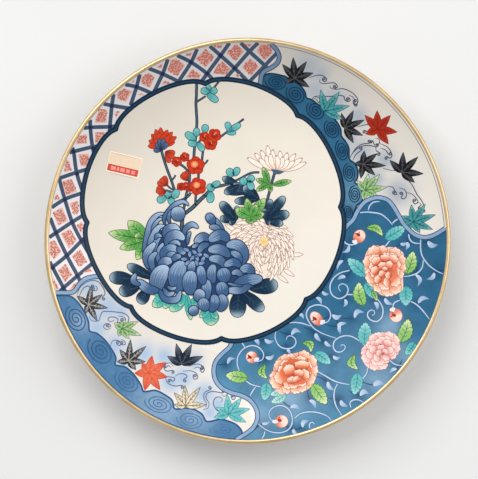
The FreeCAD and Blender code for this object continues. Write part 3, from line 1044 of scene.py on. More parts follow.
TOP_BAND = (
    (72, 8.5), (75, 12), (79, 16), (82, 22), (87, 28.5), (93, 31.5), (98, 32.2), (104, 30.5), (108, 26.5),
    (112, 20), (116, 13), (120.3, 8.3), (125, 4.4), (130.6, 2.6), (135.5, 3), (140, 4.8), (146, 8.4),
    (151, 12),
)
SIDE_BAND = (
    (-10.5, -72), (-11.5, -75.5), (-13.5, -79.5), (-19, -84.5), (-23.5, -90), (-25, -97), (-23.5, -104),
    (-19, -109.5), (-12, -113), (-5, -115), (1, -118), (5.5, -123), (7.5, -128.5), (7, -134), (4, -139.5),
    (-1, -143.5), (-7, -147), (-12, -150),
)
# The field's blues: its own from top to foot, round the leaflets, in its haze, the vines and their edges. Its
# own blue pales towards the foot, and the haze lies near the rim: both are painted reflection of the glaze's
# glare.
FIELD_BLUE_WITH_PAINTED_GLARE = wash((95, 20), (55, -140), rgb(42, 96, 130), rgb(50, 108, 142), rgb(78, 132, 164))
DEEP_BLUE = rgb(34, 84, 118)
PAINTED_GLARE_BLUE = rgb(118, 154, 180)
VINE_BLUE = rgb(180, 202, 226)
STEM_BLUE = rgb(30, 66, 104)
LEAFLET_ROOT = rgb(196, 210, 228)
LEAFLET_TIP = rgb(128, 158, 192)
VINES = (
    ((84, 21), (88, 21.4), (92, 21.2), (99, 20), (104, 16.5), (108, 12)),
    ((90, 23), (91, 26), (94, 28.8), (98.5, 29.3)), ((108, 13), (110, 15), (113, 17)),
    ((106, 0), (103, -3.5), (100, -7)), ((120, 5), (121, 1), (124, -1.5), (129, -2)),
    ((129, 1.5), (129, -6), (130.5, -12), (135, -18), (141, -22.5), (147, -25)),
    ((131, -14.5), (130, -20), (126.5, -24), (121, -26), (115.5, -26.6)),
    ((72, 0), (73.5, -2), (77, -3), (81, -2.4)),
    ((76, -22), (69, -24), (64, -28), (61.5, -34), (63, -40), (68, -43), (73, -41), (75, -37), (74, -33.5),
     (71, -32), (68.5, -33), (68, -35.5), (69.5, -37.5)), ((74, -40), (80, -40)),
    ((97, -43.5), (100, -48), (101, -52), (100, -57), (96.5, -60), (92, -59), (89.5, -56), (90, -53),
     (92.5, -51.5), (94.5, -52.5), (94.5, -54.8), (92.8, -55.4)), ((108, -50), (109.6, -46), (114, -44)),
    ((121.5, -45), (126, -47.5), (131, -52.5), (136, -59)),
    ((57, -61.5), (60.5, -59.5), (62, -55), (60, -50.5), (55, -48), (50, -48), (45.5, -50.5), (44, -56),
     (48, -63.5), (54, -68), (60, -70.5), (66, -72.5)), ((31, -61), (36, -60.8), (41, -61.5), (47.5, -63.6)),
    ((21, -67.5), (20.8, -73), (24, -78.5), (29, -80.3), (33.5, -79.5), (36, -76.5), (35.5, -73),
     (32.5, -70.8), (30, -71.3), (28.8, -73.5)), ((-4, -76), (-2, -79)),
    ((-6, -97), (-7.5, -92), (-7, -86), (-3, -80.5), (3, -78), (8.5, -79.5), (12, -84), (11, -88.5),
     (7, -89.8), (4.6, -89)), ((-1, -104.2), (3, -107), (10, -108.8)),
    ((6, -109), (3.5, -112.5), (2, -115.5)), ((51, -96.5), (58, -100.5), (64, -104), (70, -106), (76, -107)),
    ((87.5, -78), (82, -73.5), (76, -70.8), (70, -71.3), (65, -74.5), (64, -79), (66, -82.3), (69.5, -82.7),
     (72.5, -80.5), (72.5, -78), (70.5, -77.3), (69.5, -78.5)), ((89.5, -94.5), (88.5, -99), (84.5, -104)),
    ((105, -88), (110, -92), (117, -93)),
    ((67, -106.5), (65, -111), (64.5, -117), (66, -123), (69, -128), (71.5, -132)),
    ((77, -124), (76.4, -120.5), (79, -118.5), (83, -118.5), (88, -121.4)),
    ((35, -132), (40, -128.5), (47, -127.3), (54, -128.3), (60, -131), (64, -135.5)),
    ((7, -135), (12, -139.5), (18, -142.3), (25, -142.8), (31, -140), (33.5, -134), (32, -127.5),
     (28, -123.5), (22.5, -122.8), (17.5, -125.5), (16, -129.5), (17.5, -133), (21, -134.5)),
    ((13, -142), (12, -145.5), (10.2, -148)), ((46.5, -139.5), (46.2, -136.5), (48, -135), (50, -136.5)),
)
# Small pale leaflets: base, tip, width and how far the middle bows aside.
LEAFLETS = (
    ((134, -1), (142, -3), 4.0, -1.6), ((119, -1), (118, -6.5), 3.0, 1.0),
    ((114, -2.5), (119, -1), 2.4, -0.8), ((125.5, -25), (126.5, -34), 3.2, 2.6),
    ((139.5, -24), (133.5, -28.6), 3.2, 1.6), ((127, -46), (135.5, -43.4), 3.4, 2.2),
    ((76, -3.5), (70.5, -8.6), 2.8, 1.8), ((71, -14.5), (67, -22), 2.8, -1.6),
    ((73, -26.5), (67, -29), 2.8, -0.8), ((55.5, -38), (61, -39.5), 2.4, -1.0),
    ((51.5, -42), (55, -47.5), 2.6, 1.2), ((73, -43.5), (71.5, -49.4), 2.6, 1.2),
    ((79.4, -57), (87, -53.4), 3.8, 2.8), ((95, -45.5), (96.5, -51.5), 3.0, 1.0),
    ((102, -43), (108.5, -47.4), 3.0, -1.2), ((63, -55.6), (70.4, -55), 3.6, -1.8),
    ((67, -63.4), (74, -61.4), 3.0, 0.8), ((68.5, -63), (69.6, -69.4), 2.6, -0.6),
    ((50.5, -69), (55, -75), 3.0, -0.8), ((57.6, -75), (63, -78.6), 2.6, -0.8),
    ((63.6, -86), (69.4, -86.4), 2.6, -1.4), ((93.6, -107.4), (102.4, -107), 3.8, 1.6),
    ((83.6, -114.6), (90.6, -114), 4.0, 2.0), ((59.5, -105), (65, -111.4), 3.0, -1.4),
    ((69, -119), (75, -123.2), 3.2, -1.2), ((111, -95), (105.6, -98.6), 2.6, -0.8),
    ((46.4, -118.4), (50.6, -125), 3.0, 1.4), ((32.6, -69.6), (40, -68.4), 3.6, 2.4),
    ((5.6, -73), (8.6, -78), 3.0, 0.6), ((12.8, -73.6), (20, -74.4), 3.0, -1.4),
    ((13.6, -87), (20, -84.4), 3.0, -1.6), ((-15, -91.4), (-8.4, -88), 2.8, 2.2),
    ((32, -123.6), (39, -125.6), 3.0, 1.4), ((40.6, -138.6), (46, -134), 3.4, 2.0),
    ((33.6, -140.4), (37.4, -144.6), 2.8, -0.6), ((11, -136.2), (17, -134.6), 2.2, -0.6),
    ((29.6, -81), (32, -84.4), 2.2, 0.4), ((38.4, -54), (42, -58.4), 2.4, 0.8),
)
DEEP_POOLS = tuple(
    (base[0] * 1.2 - tip[0] * 0.2, base[1] * 1.2 - tip[1] * 0.2, 4.6) for base, tip, _, _ in LEAFLETS
)
# Soft paler places near the rim: painted reflection of the glaze's glare.
PAINTED_GLARE_HAZE = ((30, -118, 13), (98, -103, 12), (106, -64, 9), (8, -132, 10), (118, -86, 9))
# Leaves: base, tip, width and how far the middle bows aside.
GREEN_LEAVES = (
    ((88.8, 10), (101, 3.4), 5.8, 2.8), ((118, -24.8), (123.6, -7.4), 9.4, -1.0),
    ((86.5, -48.4), (83, -30.4), 9.4, 1.6), ((113.6, -75.6), (120, -57.8), 10.4, -1.4),
    ((41, -75.4), (47.4, -83.4), 5.8, 3.6), ((13, -92), (15, -103), 5.8, -3.6),
    ((0.4, -102.2), (-16.6, -100), 9.2, 0.0), ((48, -106.6), (59.2, -122), 10.0, 0.0),
    ((79.6, -84.6), (82.6, -96), 6.4, -4.0), ((92.8, -37), (96.6, -45), 3.8, 0.4),
)
TEAL_LEAVES = (
    ((102.6, 1.4), (118.2, 10.8), 9.2, 0.0), ((89, -26.4), (74.4, -12.8), 9.6, 0.0),
    ((118, -33.6), (118, -48.8), 10.6, 0.0), ((87.6, -31), (96.6, -43.6), 8.6, 0.0),
    ((87, -77.2), (88, -60.2), 10.6, 0.0), ((50, -83.2), (62.2, -91.6), 8.2, 0.4),
    ((124.6, -75.4), (117.4, -85), 8.0, 0.8), ((82.2, -98.2), (79.4, -115), 9.4, 0.4),
    ((14.6, -105.4), (12.4, -119.2), 8.8, 0.4),
)
PALE_LEAVES = (((29, -114.6), (17.4, -120.4), 6.0, 0.6), ((28.4, -112.6), (16.6, -114.6), 5.4, -0.4))
# The leaves' colours: at the base, at the tip, and the rim's.
FIELD_GREENS = (rgb(128, 186, 94), rgb(224, 234, 178), rgb(56, 104, 56))
FIELD_TEALS = (rgb(82, 176, 176), rgb(158, 216, 212), rgb(40, 116, 124))
FIELD_PALES = (rgb(146, 202, 194), rgb(206, 228, 216), rgb(86, 150, 152))
# Buds: centre, width, height, tilt, and the white calyx.
BUDS = (
    ((83.4, 3.4), 8.8, 9.8, -28, (80, -1)), ((51.4, -57.8), 8.0, 11.4, 38, (56, -60.6)),
    ((110.6, -55.6), 9.4, 10.0, 20, (108, -51)), ((3.2, -86.6), 8.4, 8.8, 30, (6.8, -88.4)),
    ((25.4, -134.4), 9.6, 9.2, 0, (20.6, -134.6)),
)
BUD_COLOURS = (rgb(206, 84, 54), rgb(230, 144, 116), rgb(248, 218, 202), rgb(248, 218, 202))
BUD_RIM = rgb(212, 120, 96)
BUD_DARK = rgb(150, 40, 24)
CALYX_WHITE = rgb(228, 226, 230)
CALYX_LIGHT = rgb(240, 232, 230)
# A peony's colours: its light petals, their middles, its depths and its lines.
PETAL_WHITE = rgb(252, 230, 216)
CORAL = (rgb(246, 202, 174), rgb(230, 126, 88), rgb(186, 52, 26), rgb(172, 74, 52))
ORANGE = (rgb(244, 200, 168), rgb(228, 112, 68), rgb(184, 48, 22), rgb(168, 70, 44))
ROSE = (rgb(246, 206, 198), rgb(236, 170, 162), rgb(212, 118, 110), rgb(196, 110, 106))
STAMEN = rgb(140, 40, 24)
# Peonies: name, outline, colours, the heart, the cupped petals inside, and the stamens.
# The heart and the cupped petals are each a centre, a width, a height and a tilt.
PEONIES = (
    ("coral_peony",
     ((87.4, -12), (90.8, -5.6), (97.6, -3.5), (101, -5.2), (106, -4.6), (111.1, -5.6), (116, -9),
      (116.8, -14), (118, -18), (116, -26), (116, -33), (115, -37), (110, -39.6), (105, -41), (99, -40),
      (94.2, -35.4), (89.4, -30.7), (88.1, -24.6), (87.2, -18)), CORAL, ((102.4, -21.6), 19, 21, 0),
     (((108.6, -13.6), 8, 6.4, -30), ((96, -15), 7.4, 6.2, 30), ((102.6, -12.6), 7.4, 5.4, 0),
      ((95, -22), 6.6, 6.0, 50), ((97.4, -28.6), 7.0, 5.6, 60), ((104, -31), 7.2, 5.4, 100),
      ((100.4, -18.4), 6.4, 5.4, 20), ((105.4, -18), 5.2, 6.4, -20), ((100.4, -24.4), 6.0, 5.0, 40),
      ((105, -25.6), 5.6, 4.6, 80), ((102.4, -21), 4.2, 3.6, 0)),
     ((101, -15.6), (97.6, -19), (103.4, -22.6), (99.4, -27))),
    ("orange_peony",
     ((16.2, -104.6), (19, -98.4), (19.7, -93.5), (21.5, -89.8), (24.6, -86), (29.6, -84.8), (35.2, -83.6),
      (42.6, -82.3), (46.4, -84.2), (50, -86.7), (51.9, -92.2), (51.9, -98.4), (50, -104), (46.3, -109.6),
      (41.4, -112.1), (35.8, -113.6), (29.6, -112.7), (24.6, -114.2), (19.7, -109)), ORANGE,
     ((36, -97.6), 22.6, 19.4, 0),
     (((40.6, -92.4), 11.4, 6.6, 0), ((31.2, -96.4), 8.6, 9.4, 20), ((42.6, -99.4), 8.2, 7.0, -60),
      ((33.4, -103.6), 8.6, 5.2, 10), ((38.4, -98.6), 7.4, 5.6, -10), ((36.6, -103), 6.6, 4.4, 30)),
     ((35, -92.4), (30, -92), (44, -95.8), (36.6, -96), (33.6, -99.4), (38.4, -101.6), (44.8, -88))),
    ("rose_peony",
     ((85.1, -80.8), (87.4, -77.9), (89.7, -75.1), (92.6, -69.9), (96.6, -68.5), (102.3, -68.2),
      (107.5, -68.5), (110.8, -70.2), (112.8, -73.9), (113.5, -79.1), (112.1, -84.2), (108.6, -87.1),
      (105.2, -88.2), (103.5, -92.8), (100.6, -95.7), (96.6, -96), (92.6, -95.7), (88.6, -93.4),
      (86, -89.4), (85.1, -84.8)), ROSE, ((99.6, -81.4), 16, 15, 0),
     (((104.4, -76), 6.4, 5.2, -20), ((97.6, -75.6), 6.2, 5.0, 20), ((93.6, -81), 5.8, 5.6, 60),
      ((96.4, -87), 6.0, 5.0, 110), ((103.2, -86.8), 5.8, 4.8, 160), ((106, -81.4), 5.4, 5.4, -70),
      ((99.4, -79.4), 5.4, 4.4, 10), ((98, -83.4), 4.8, 4.0, 60), ((102.4, -82.4), 4.6, 4.0, -40)),
     ((101.6, -83.6), (100.6, -84.4), (99.2, -77.4))),
)
# A peony's rings of outer petals: how many, how far out, how large, and the first one's turn.
OUTER_RINGS = ((12, 0.78, 0.56, 5), (10, 0.56, 0.5, 22))


def frilled(centre, width, height, turn, frills, depth):
    """An oval whose edge is a row of small lobes, as on a peony's petal."""
    a = np.arange(frills * 7) * TURN / (frills * 7)
    lobes = 1 + depth * (np.abs(np.sin(a * frills / 2)) - 0.5)
    around = np.stack([np.cos(a) * width / 2, np.sin(a) * height / 2], 1) * lobes[:, None]
    return turned(around, turn) + np.array(centre, float)


def outer_petal(flower, place, direction, size, height, turn, coat, colours):
    """A frilled petal, with three streaks from its middle outward."""
    light, middle, deep, line = colours
    inward = direction * size * 0.46
    outline = frilled(place, size * 0.86, size * height, turn, 7, 0.18)
    colour = wash(place - inward, place + inward, deep, middle, light, PETAL_WHITE)
    flower.rimmed(outline, coat, colour, line, 0.34, lift=0.06)
    for lean in (-0.5, 0.0, 0.5):
        aside = quarter_turn(direction) * lean * size * 0.4
        streak = [place + aside * 0.3, place + inward * 0.45 + aside * 0.7, place + inward * 0.8 + aside]
        flower.line(streak, 0.3, coat + 0.08, middle, ends=(0.4, 0.2))


def peony(name, outline, colours, heart, cups, stamens):
    """A full-blown peony: pale frilled petals outside, a deep hollow, and small cupped petals inside it."""
    light, middle, deep, line = colours
    flower = Painting(name, ENAMEL)
    edge = smooth(outline, closed=True)
    centre = edge.mean(0)
    flower.fill(edge, FLOWER_COAT, halo(centre, np.ptp(edge[:, 0]) / 2, deep, light))
    coat = FLOWER_COAT + 0.5
    for count, share, size, start in OUTER_RINGS:
        for k in range(count):
            turn = start + 360 * k / count + 7 * math.sin(2.3 * k + share)
            direction = polar((0, 0), 1, turn)
            rim = edge[np.argmax((edge - centre) @ direction / np.linalg.norm(edge - centre, axis=1))]
            place = centre + (rim - centre) * share
            size_here = np.linalg.norm(rim - centre) * size
            height = 0.9 + 0.16 * math.sin(3.1 * k)
            outer_petal(flower, place, direction, size_here, height, turn, coat, colours)
            coat += 0.14
    spot, width, height, turn = heart
    flower.fill(frilled(spot, width, height, turn, 9, 0.12), coat + 0.3, halo(spot, width / 2, deep, middle))
    coat += 0.6
    for place, width, height, turn in cups:
        top = polar(place, height * 0.5, 90 + turn)
        colour = wash(top, np.array(place) * 2 - top, PETAL_WHITE, light, middle, deep)
        flower.rimmed(frilled(place, width, height, turn, 6, 0.14), coat, colour, line, 0.36, lift=0.06)
        coat += 0.14
    for place in stamens:
        flower.fill(oval(place, 1.3, 0.9, 20), coat + 0.3, STAMEN)
    flower.drape()


def leaf(piece, base, tip, width, bend, coat, colours):
    """A leaf of the field: a wash from base to tip, an outline, and a vein with side veins."""
    root_colour, tip_colour, rim = colours
    outline = petal(base, tip, width, root=0.6, end=0.8, bend=bend, count=26)
    base = np.array(base, float)
    along = np.array(tip, float) - base
    side = quarter_turn(along) / np.linalg.norm(along)
    # Every third point steps in, which gives the leaf its teeth.
    middle = base + along / 2 + side * bend
    outline[2:-1:3] += (middle - outline[2:-1:3]) * 0.1
    colour = wash(base, tip, root_colour, mix(root_colour, tip_colour, 0.15), tip_colour)
    piece.rimmed(outline, coat, colour, rim, 0.45, lift=0.3)
    t = np.linspace(0.04, 0.86, 10)
    spine = base + along * t[:, None] + side * (bend * np.sin(math.pi * t))[:, None]
    piece.line(spine, 0.5, coat + 0.6, rim, ends=(1, 0.3))
    for k in (2, 4, 6):
        for sign in (1, -1):
            end = spine[k] + along * 0.13 + side * sign * width * 0.3
            piece.line([spine[k], (spine[k] + end) / 2 + along * 0.02, end], 0.32, coat + 0.6, rim)


def bud(piece, centre, width, height, tilt, calyx):
    """A closed bud on its white calyx, with a pale patch and three dark spots."""
    centre = np.array(centre, float)
    calyx = np.array(calyx, float)
    away = centre - calyx
    body = oval(centre, width, height, tilt, 22)
    piece.rimmed(body, FLOWER_COAT, wash(calyx, centre + away, *BUD_COLOURS), BUD_RIM, 0.35, lift=0.3)
    patch = oval(centre + away * 0.28, width * 0.5, height * 0.24, tilt + 25, 14)
    piece.fill(patch, FLOWER_COAT + 0.5, BUD_COLOURS[-1])
    for share, turn, size in ((0.16, 150, 3.4), (0.36, 172, 1.5), (0.34, 118, 1.2)):
        spot = polar(centre, width * share, turn + tilt)
        piece.fill(oval(spot, size, size * 0.7, turn), FLOWER_COAT + 0.7, BUD_DARK)
    piece.fill(oval(calyx, 4.4, 2.8, tilt, 14), FLOWER_COAT + 1, CALYX_WHITE)
    piece.fill(oval(calyx + away * 0.2, 2.2, 1.8, tilt + 60), FLOWER_COAT + 1.2, CALYX_LIGHT)


def leaflet_stem(vines, base, tip, bend):
    """The leaflet's own thin dark stem, which runs back from it in a bow."""
    base = np.array(base, float)
    away = base - np.array(tip, float)
    bow = quarter_turn(away) * (0.35 if bend < 0 else -0.35)
    stem = smooth([base, base + away * 0.6 + bow * 0.5, base + away * 1.2 + bow * 1.6])
    vines.line(stem, 0.75, FIELD_COAT + 1, STEM_BLUE, ends=(1, 0.3))


def peony_field():
    edge = rim_arc(PAINT_EDGE, 4.0, -94.2)
    under_medallion = [(0, -50), (40, -20), (60, 0)]
    outline = np.vstack([smooth_to_gold(TOP_BAND), edge, smooth_to_gold(SIDE_BAND)[::-1], under_medallion])
    ground = Painting("peony_field_ground", INDIGO)
    ground.fill(outline, FIELD_COAT, pooled(PAINTED_GLARE_HAZE, pooled(DEEP_POOLS, FIELD_BLUE_WITH_PAINTED_GLARE, DEEP_BLUE), PAINTED_GLARE_BLUE), 2.2)
    ground.drape()
    vines = Painting("peony_field_vines", COBALT)
    for base, tip, _, bend in LEAFLETS:
        leaflet_stem(vines, base, tip, bend)
    for vine in VINES:
        line = smooth_to_gold(vine)
        vines.line(line, 1.75, FIELD_COAT + 1.4, STEM_BLUE, ends=(0.8, 0.4))
        vines.line(line, 1.05, FIELD_COAT + 2, VINE_BLUE, ends=(0.8, 0.5))
    for base, tip, width, bend in LEAFLETS:
        shape = petal(base, tip, width, root=0.45, end=0.9, bend=bend)
        vines.fill(shape, FIELD_COAT + 2.2, wash(base, tip, LEAFLET_ROOT, LEAFLET_TIP))
    vines.drape()
    ribbons = Painting("peony_field_band", COBALT)
    band(ribbons, TOP_BAND)
    band(ribbons, SIDE_BAND)
    ribbons.drape()
    for kind, rows, under, colours in (
        ("green", GREEN_LEAVES, 0.9, FIELD_GREENS),
        ("teal", TEAL_LEAVES, 1.9, FIELD_TEALS),
        ("pale", PALE_LEAVES, 0.9, FIELD_PALES),
    ):
        leaves = Painting("peony_field_" + kind + "_leaves", ENAMEL)
        for row in rows:
            leaf(leaves, *row, FLOWER_COAT - under, colours)
        leaves.drape()
    buds = Painting("peony_field_buds", ENAMEL)
    for row in BUDS:
        bud(buds, *row)
    buds.drape()
    for row in PEONIES:
        peony(*row)


# ---------------------------------------------------------------- the bouquet

# Each twig: its width and its line.
TWIGS = (
    (1.7,
     ((-37.8, 117), (-38, 108), (-38.3, 102), (-38, 96.5), (-37.6, 88), (-38.3, 79), (-39.2, 71), (-40, 61))),
    (1.1, ((-38.3, 103), (-35, 105.2), (-31, 107.8))), (1.1, ((-25.8, 113), (-23, 116.4), (-20.6, 119.4))),
    (1.2, ((-39, 72), (-36.4, 73.4), (-34, 76))), (1.2, ((-20, 77.4), (-15.6, 80.8), (-9, 86), (-2.6, 90.8))),
    (1.4, ((-32.8, 69), (-33.4, 64), (-34, 58))), (1.0, ((-33, 57), (-31, 58), (-29.4, 60.4))),
    (1.4, ((-36.4, 51), (-36.4, 45))), (1.4, ((-38, 36), (-38.6, 31), (-38.4, 26))),
    (1.6, ((-64.4, 69), (-62.6, 62), (-60, 54), (-57, 46), (-54.6, 39), (-52, 32))),
    (1.0, ((-57, 45), (-55, 46.4), (-53.4, 49))), (1.0, ((-60.4, 42), (-57.6, 39.4), (-54.6, 37.4))),
    (1.0, ((-61, 37.8), (-57, 36.6), (-54, 35))),
    (2.6, ((-46.6, 20.4), (-41, 24.6), (-36, 29.6), (-31.4, 34))),
    (1.9, ((-32, 33.4), (-28.6, 37), (-24, 40), (-17, 41.6), (-11, 43.6))),
    (1.3, ((-12, 43.4), (-5, 46.6), (0, 49.4), (4, 50.8), (9, 51))),
    (1.6, ((-43.4, 56), (-43, 48), (-43.6, 42), (-45.6, 34), (-46.6, 28), (-47.6, 22))),
    (1.6, ((-42, 36), (-44, 33.4), (-47.4, 31), (-51, 29.6))), (1.4, ((-50, 57), (-46, 54), (-43.6, 50))),
    (2.6, ((-48.4, 18), (-48.8, 10), (-48.4, 5))),
    (1.7, ((20.4, 51), (18.4, 44), (16.6, 37), (14.8, 30), (13.6, 23))),
)
# Round turquoise leaves of the plum: base, tip and width.
PLUM_LEAVES = (
    ((-28, 111), (-34.6, 112), 5.2), ((-27.5, 112), (-30, 116), 3.6), ((-27.5, 110.5), (-22.8, 113), 5.0),
    ((-30, 109.6), (-22, 103.8), 5.2), ((-32, 80.4), (-31, 86.6), 5.2), ((-38, 77.6), (-37.8, 84), 5.0),
    ((-38.6, 75), (-46, 80.4), 5.4), ((-37.6, 71.6), (-44, 73.4), 5.0), ((-37, 73), (-32.6, 67), 4.6),
    ((-12.6, 81), (-15.4, 88.4), 4.6), ((-13, 82), (-5.2, 87), 4.6), ((-15.4, 80.6), (-8.6, 80.4), 3.6),
    ((-11, 47.8), (-14.4, 53.6), 5.6), ((-10, 48.4), (-6.6, 54.6), 5.0), ((-27, 40.6), (-20.4, 43.6), 4.4),
    ((-25, 37.6), (-29.6, 41.6), 5.2), ((-27, 36.6), (-28, 28.4), 5.6), ((-1, 42), (-4.4, 46.6), 5.8),
    ((0, 44), (4.8, 48), 5.2), ((0.6, 45), (3.8, 38.2), 5.2), ((-60.4, 33), (-67, 29.4), 5.6),
    ((-57, 31.8), (-61.6, 36.4), 4.4), ((-58, 33), (-55.6, 27), 5.0), ((-55.6, 31.6), (-51.6, 38), 5.4),
)
# Plum blossoms and buds: centre, radius, and how many petals are seen.
BLOSSOMS = (
    ((-38.5, 56), 6.4, 5), ((-37, 40.6), 6.2, 5), ((-24.5, 78.5), 4.8, 4), ((-32, 77.3), 3.7, 4),
    ((-27.4, 72.4), 4.7, 5), ((-46.6, 62.4), 3.3, 3), ((-52.6, 59), 3.6, 3), ((-49.6, 40.4), 2.8, 2),
    ((-46, 40.6), 3.0, 3), ((-42.4, 39.4), 2.7, 2),
)
# Opening buds: the root, then the tips of the petals.
OPENING_BUDS = (
    ((-59.4, 41.2), (-67, 43.4), (-62.2, 48.2), (-64.8, 46.2)),
    ((-60.4, 36.6), (-67.4, 39.8), (-66, 34.6), (-68, 37.2)),
    ((-44.6, 44.6), (-49.4, 49.4), (-45.8, 51.8), (-47.8, 51)),
    ((-61, 66.6), (-54, 65.2), (-58, 58.2), (-54.8, 61.6)),
)
RED_TIPS = (
    (-54, 73.6), (-52.8, 77.4), (-55.8, 81), (-59.4, 82.6), (-64.6, 84.4), (-68.4, 83), (-71.4, 79.4),
    (-73.4, 74.6), (-74, 70.4), (-69.4, 79.4), (-65.6, 80.4), (-61.6, 79.6), (-58, 78), (-69.4, 75.4),
)
PINK_TIPS = (
    (0, 61.8), (43.8, 58.4), (5.6, 65.2), (41, 61.6), (10, 67.4), (36, 64.8), (14.8, 71), (30, 65.6),
    (19, 68), (24.4, 67), (8.6, 61.6), (35.4, 59.6), (13.4, 63.6), (31, 61), (17, 65), (26.6, 62.6),
    (21.6, 63.6),
)
# Lobed leaves: base, then tip and width of each lobe.
NAVY_LEAVES = (
    ((-6, 41.6), ((-18.6, 47), 5.6), ((-17, 35.4), 6.0)), ((2, 36.6), ((-16.6, 37.4), 6.6)),
    ((9, 31), ((-10.4, 42.6), 7.0), ((-9.4, 29.4), 6.2), ((-3, 40.6), 7.4)),
    ((-8.4, 15), ((-19.8, 28.8), 7.4), ((-20.2, 17), 5.8), ((-7.6, 26), 4.6), ((-13.6, 13.2), 4.2)),
    ((13.4, 15.6), ((27.8, 33), 7.0), ((17.4, 31), 5.6), ((31, 20.6), 7.6), ((26.4, 12.6), 6.0),
     ((12.4, 24), 4.4), ((17, 13), 4.0)), ((-6.4, -35), ((-7.6, -57), 12.4)), ((-6, -36), ((12, -52), 9.4)),
    ((2, -36.6), ((22.6, -32), 11.4)), ((-68, -29), ((-89.4, -18), 7.6)),
    ((-83, -28.6), ((-102.8, -27), 9.8)), ((-79.4, -34), ((-95.4, -38.4), 9.6)),
    ((-73, -35.6), ((-80.8, -46.4), 9.2)),
)
BRIGHT_LEAVES = (
    ((2.4, 18), ((-0.6, 31.6), 6.0), ((13.4, 31.4), 7.4), ((-9, 23.6), 8.0), ((12.6, 20.2), 6.4),
     ((3, 13), 8.0), ((7, 27), 6.0)),
    ((-74.6, 0.6), ((-103.4, 6), 9.0), ((-88.8, 14.8), 10.4), ((-95, -5.6), 8.0), ((-82.4, -14), 8.2),
     ((-84, 4), 9.0)),
    ((16.4, 42.6), ((11.4, 55), 4.8), ((6.4, 45.8), 4.6), ((6.4, 37.4), 4.2), ((17.6, 36.4), 3.8)),
    ((18.4, 41.6), ((32.8, 44.6), 4.6)),
)
SEA_LEAVES = (
    ((-58, -40), ((-71.6, -37.6), 6.4), ((-70.6, -48.8), 8.6), ((-61.6, -50.4), 7.0)),
    ((-47.4, -39.6), ((-57, -52.4), 10.4), ((-50.4, -49), 6.0)), ((-45.4, -39), ((-42, -58.8), 5.6)),
    ((-28, -50), ((-26.6, -63), 12.0), ((-35.4, -57), 5.4), ((-22.4, -58), 5.0)),
    ((-37, -41), ((-41, -49), 6.0)),
)
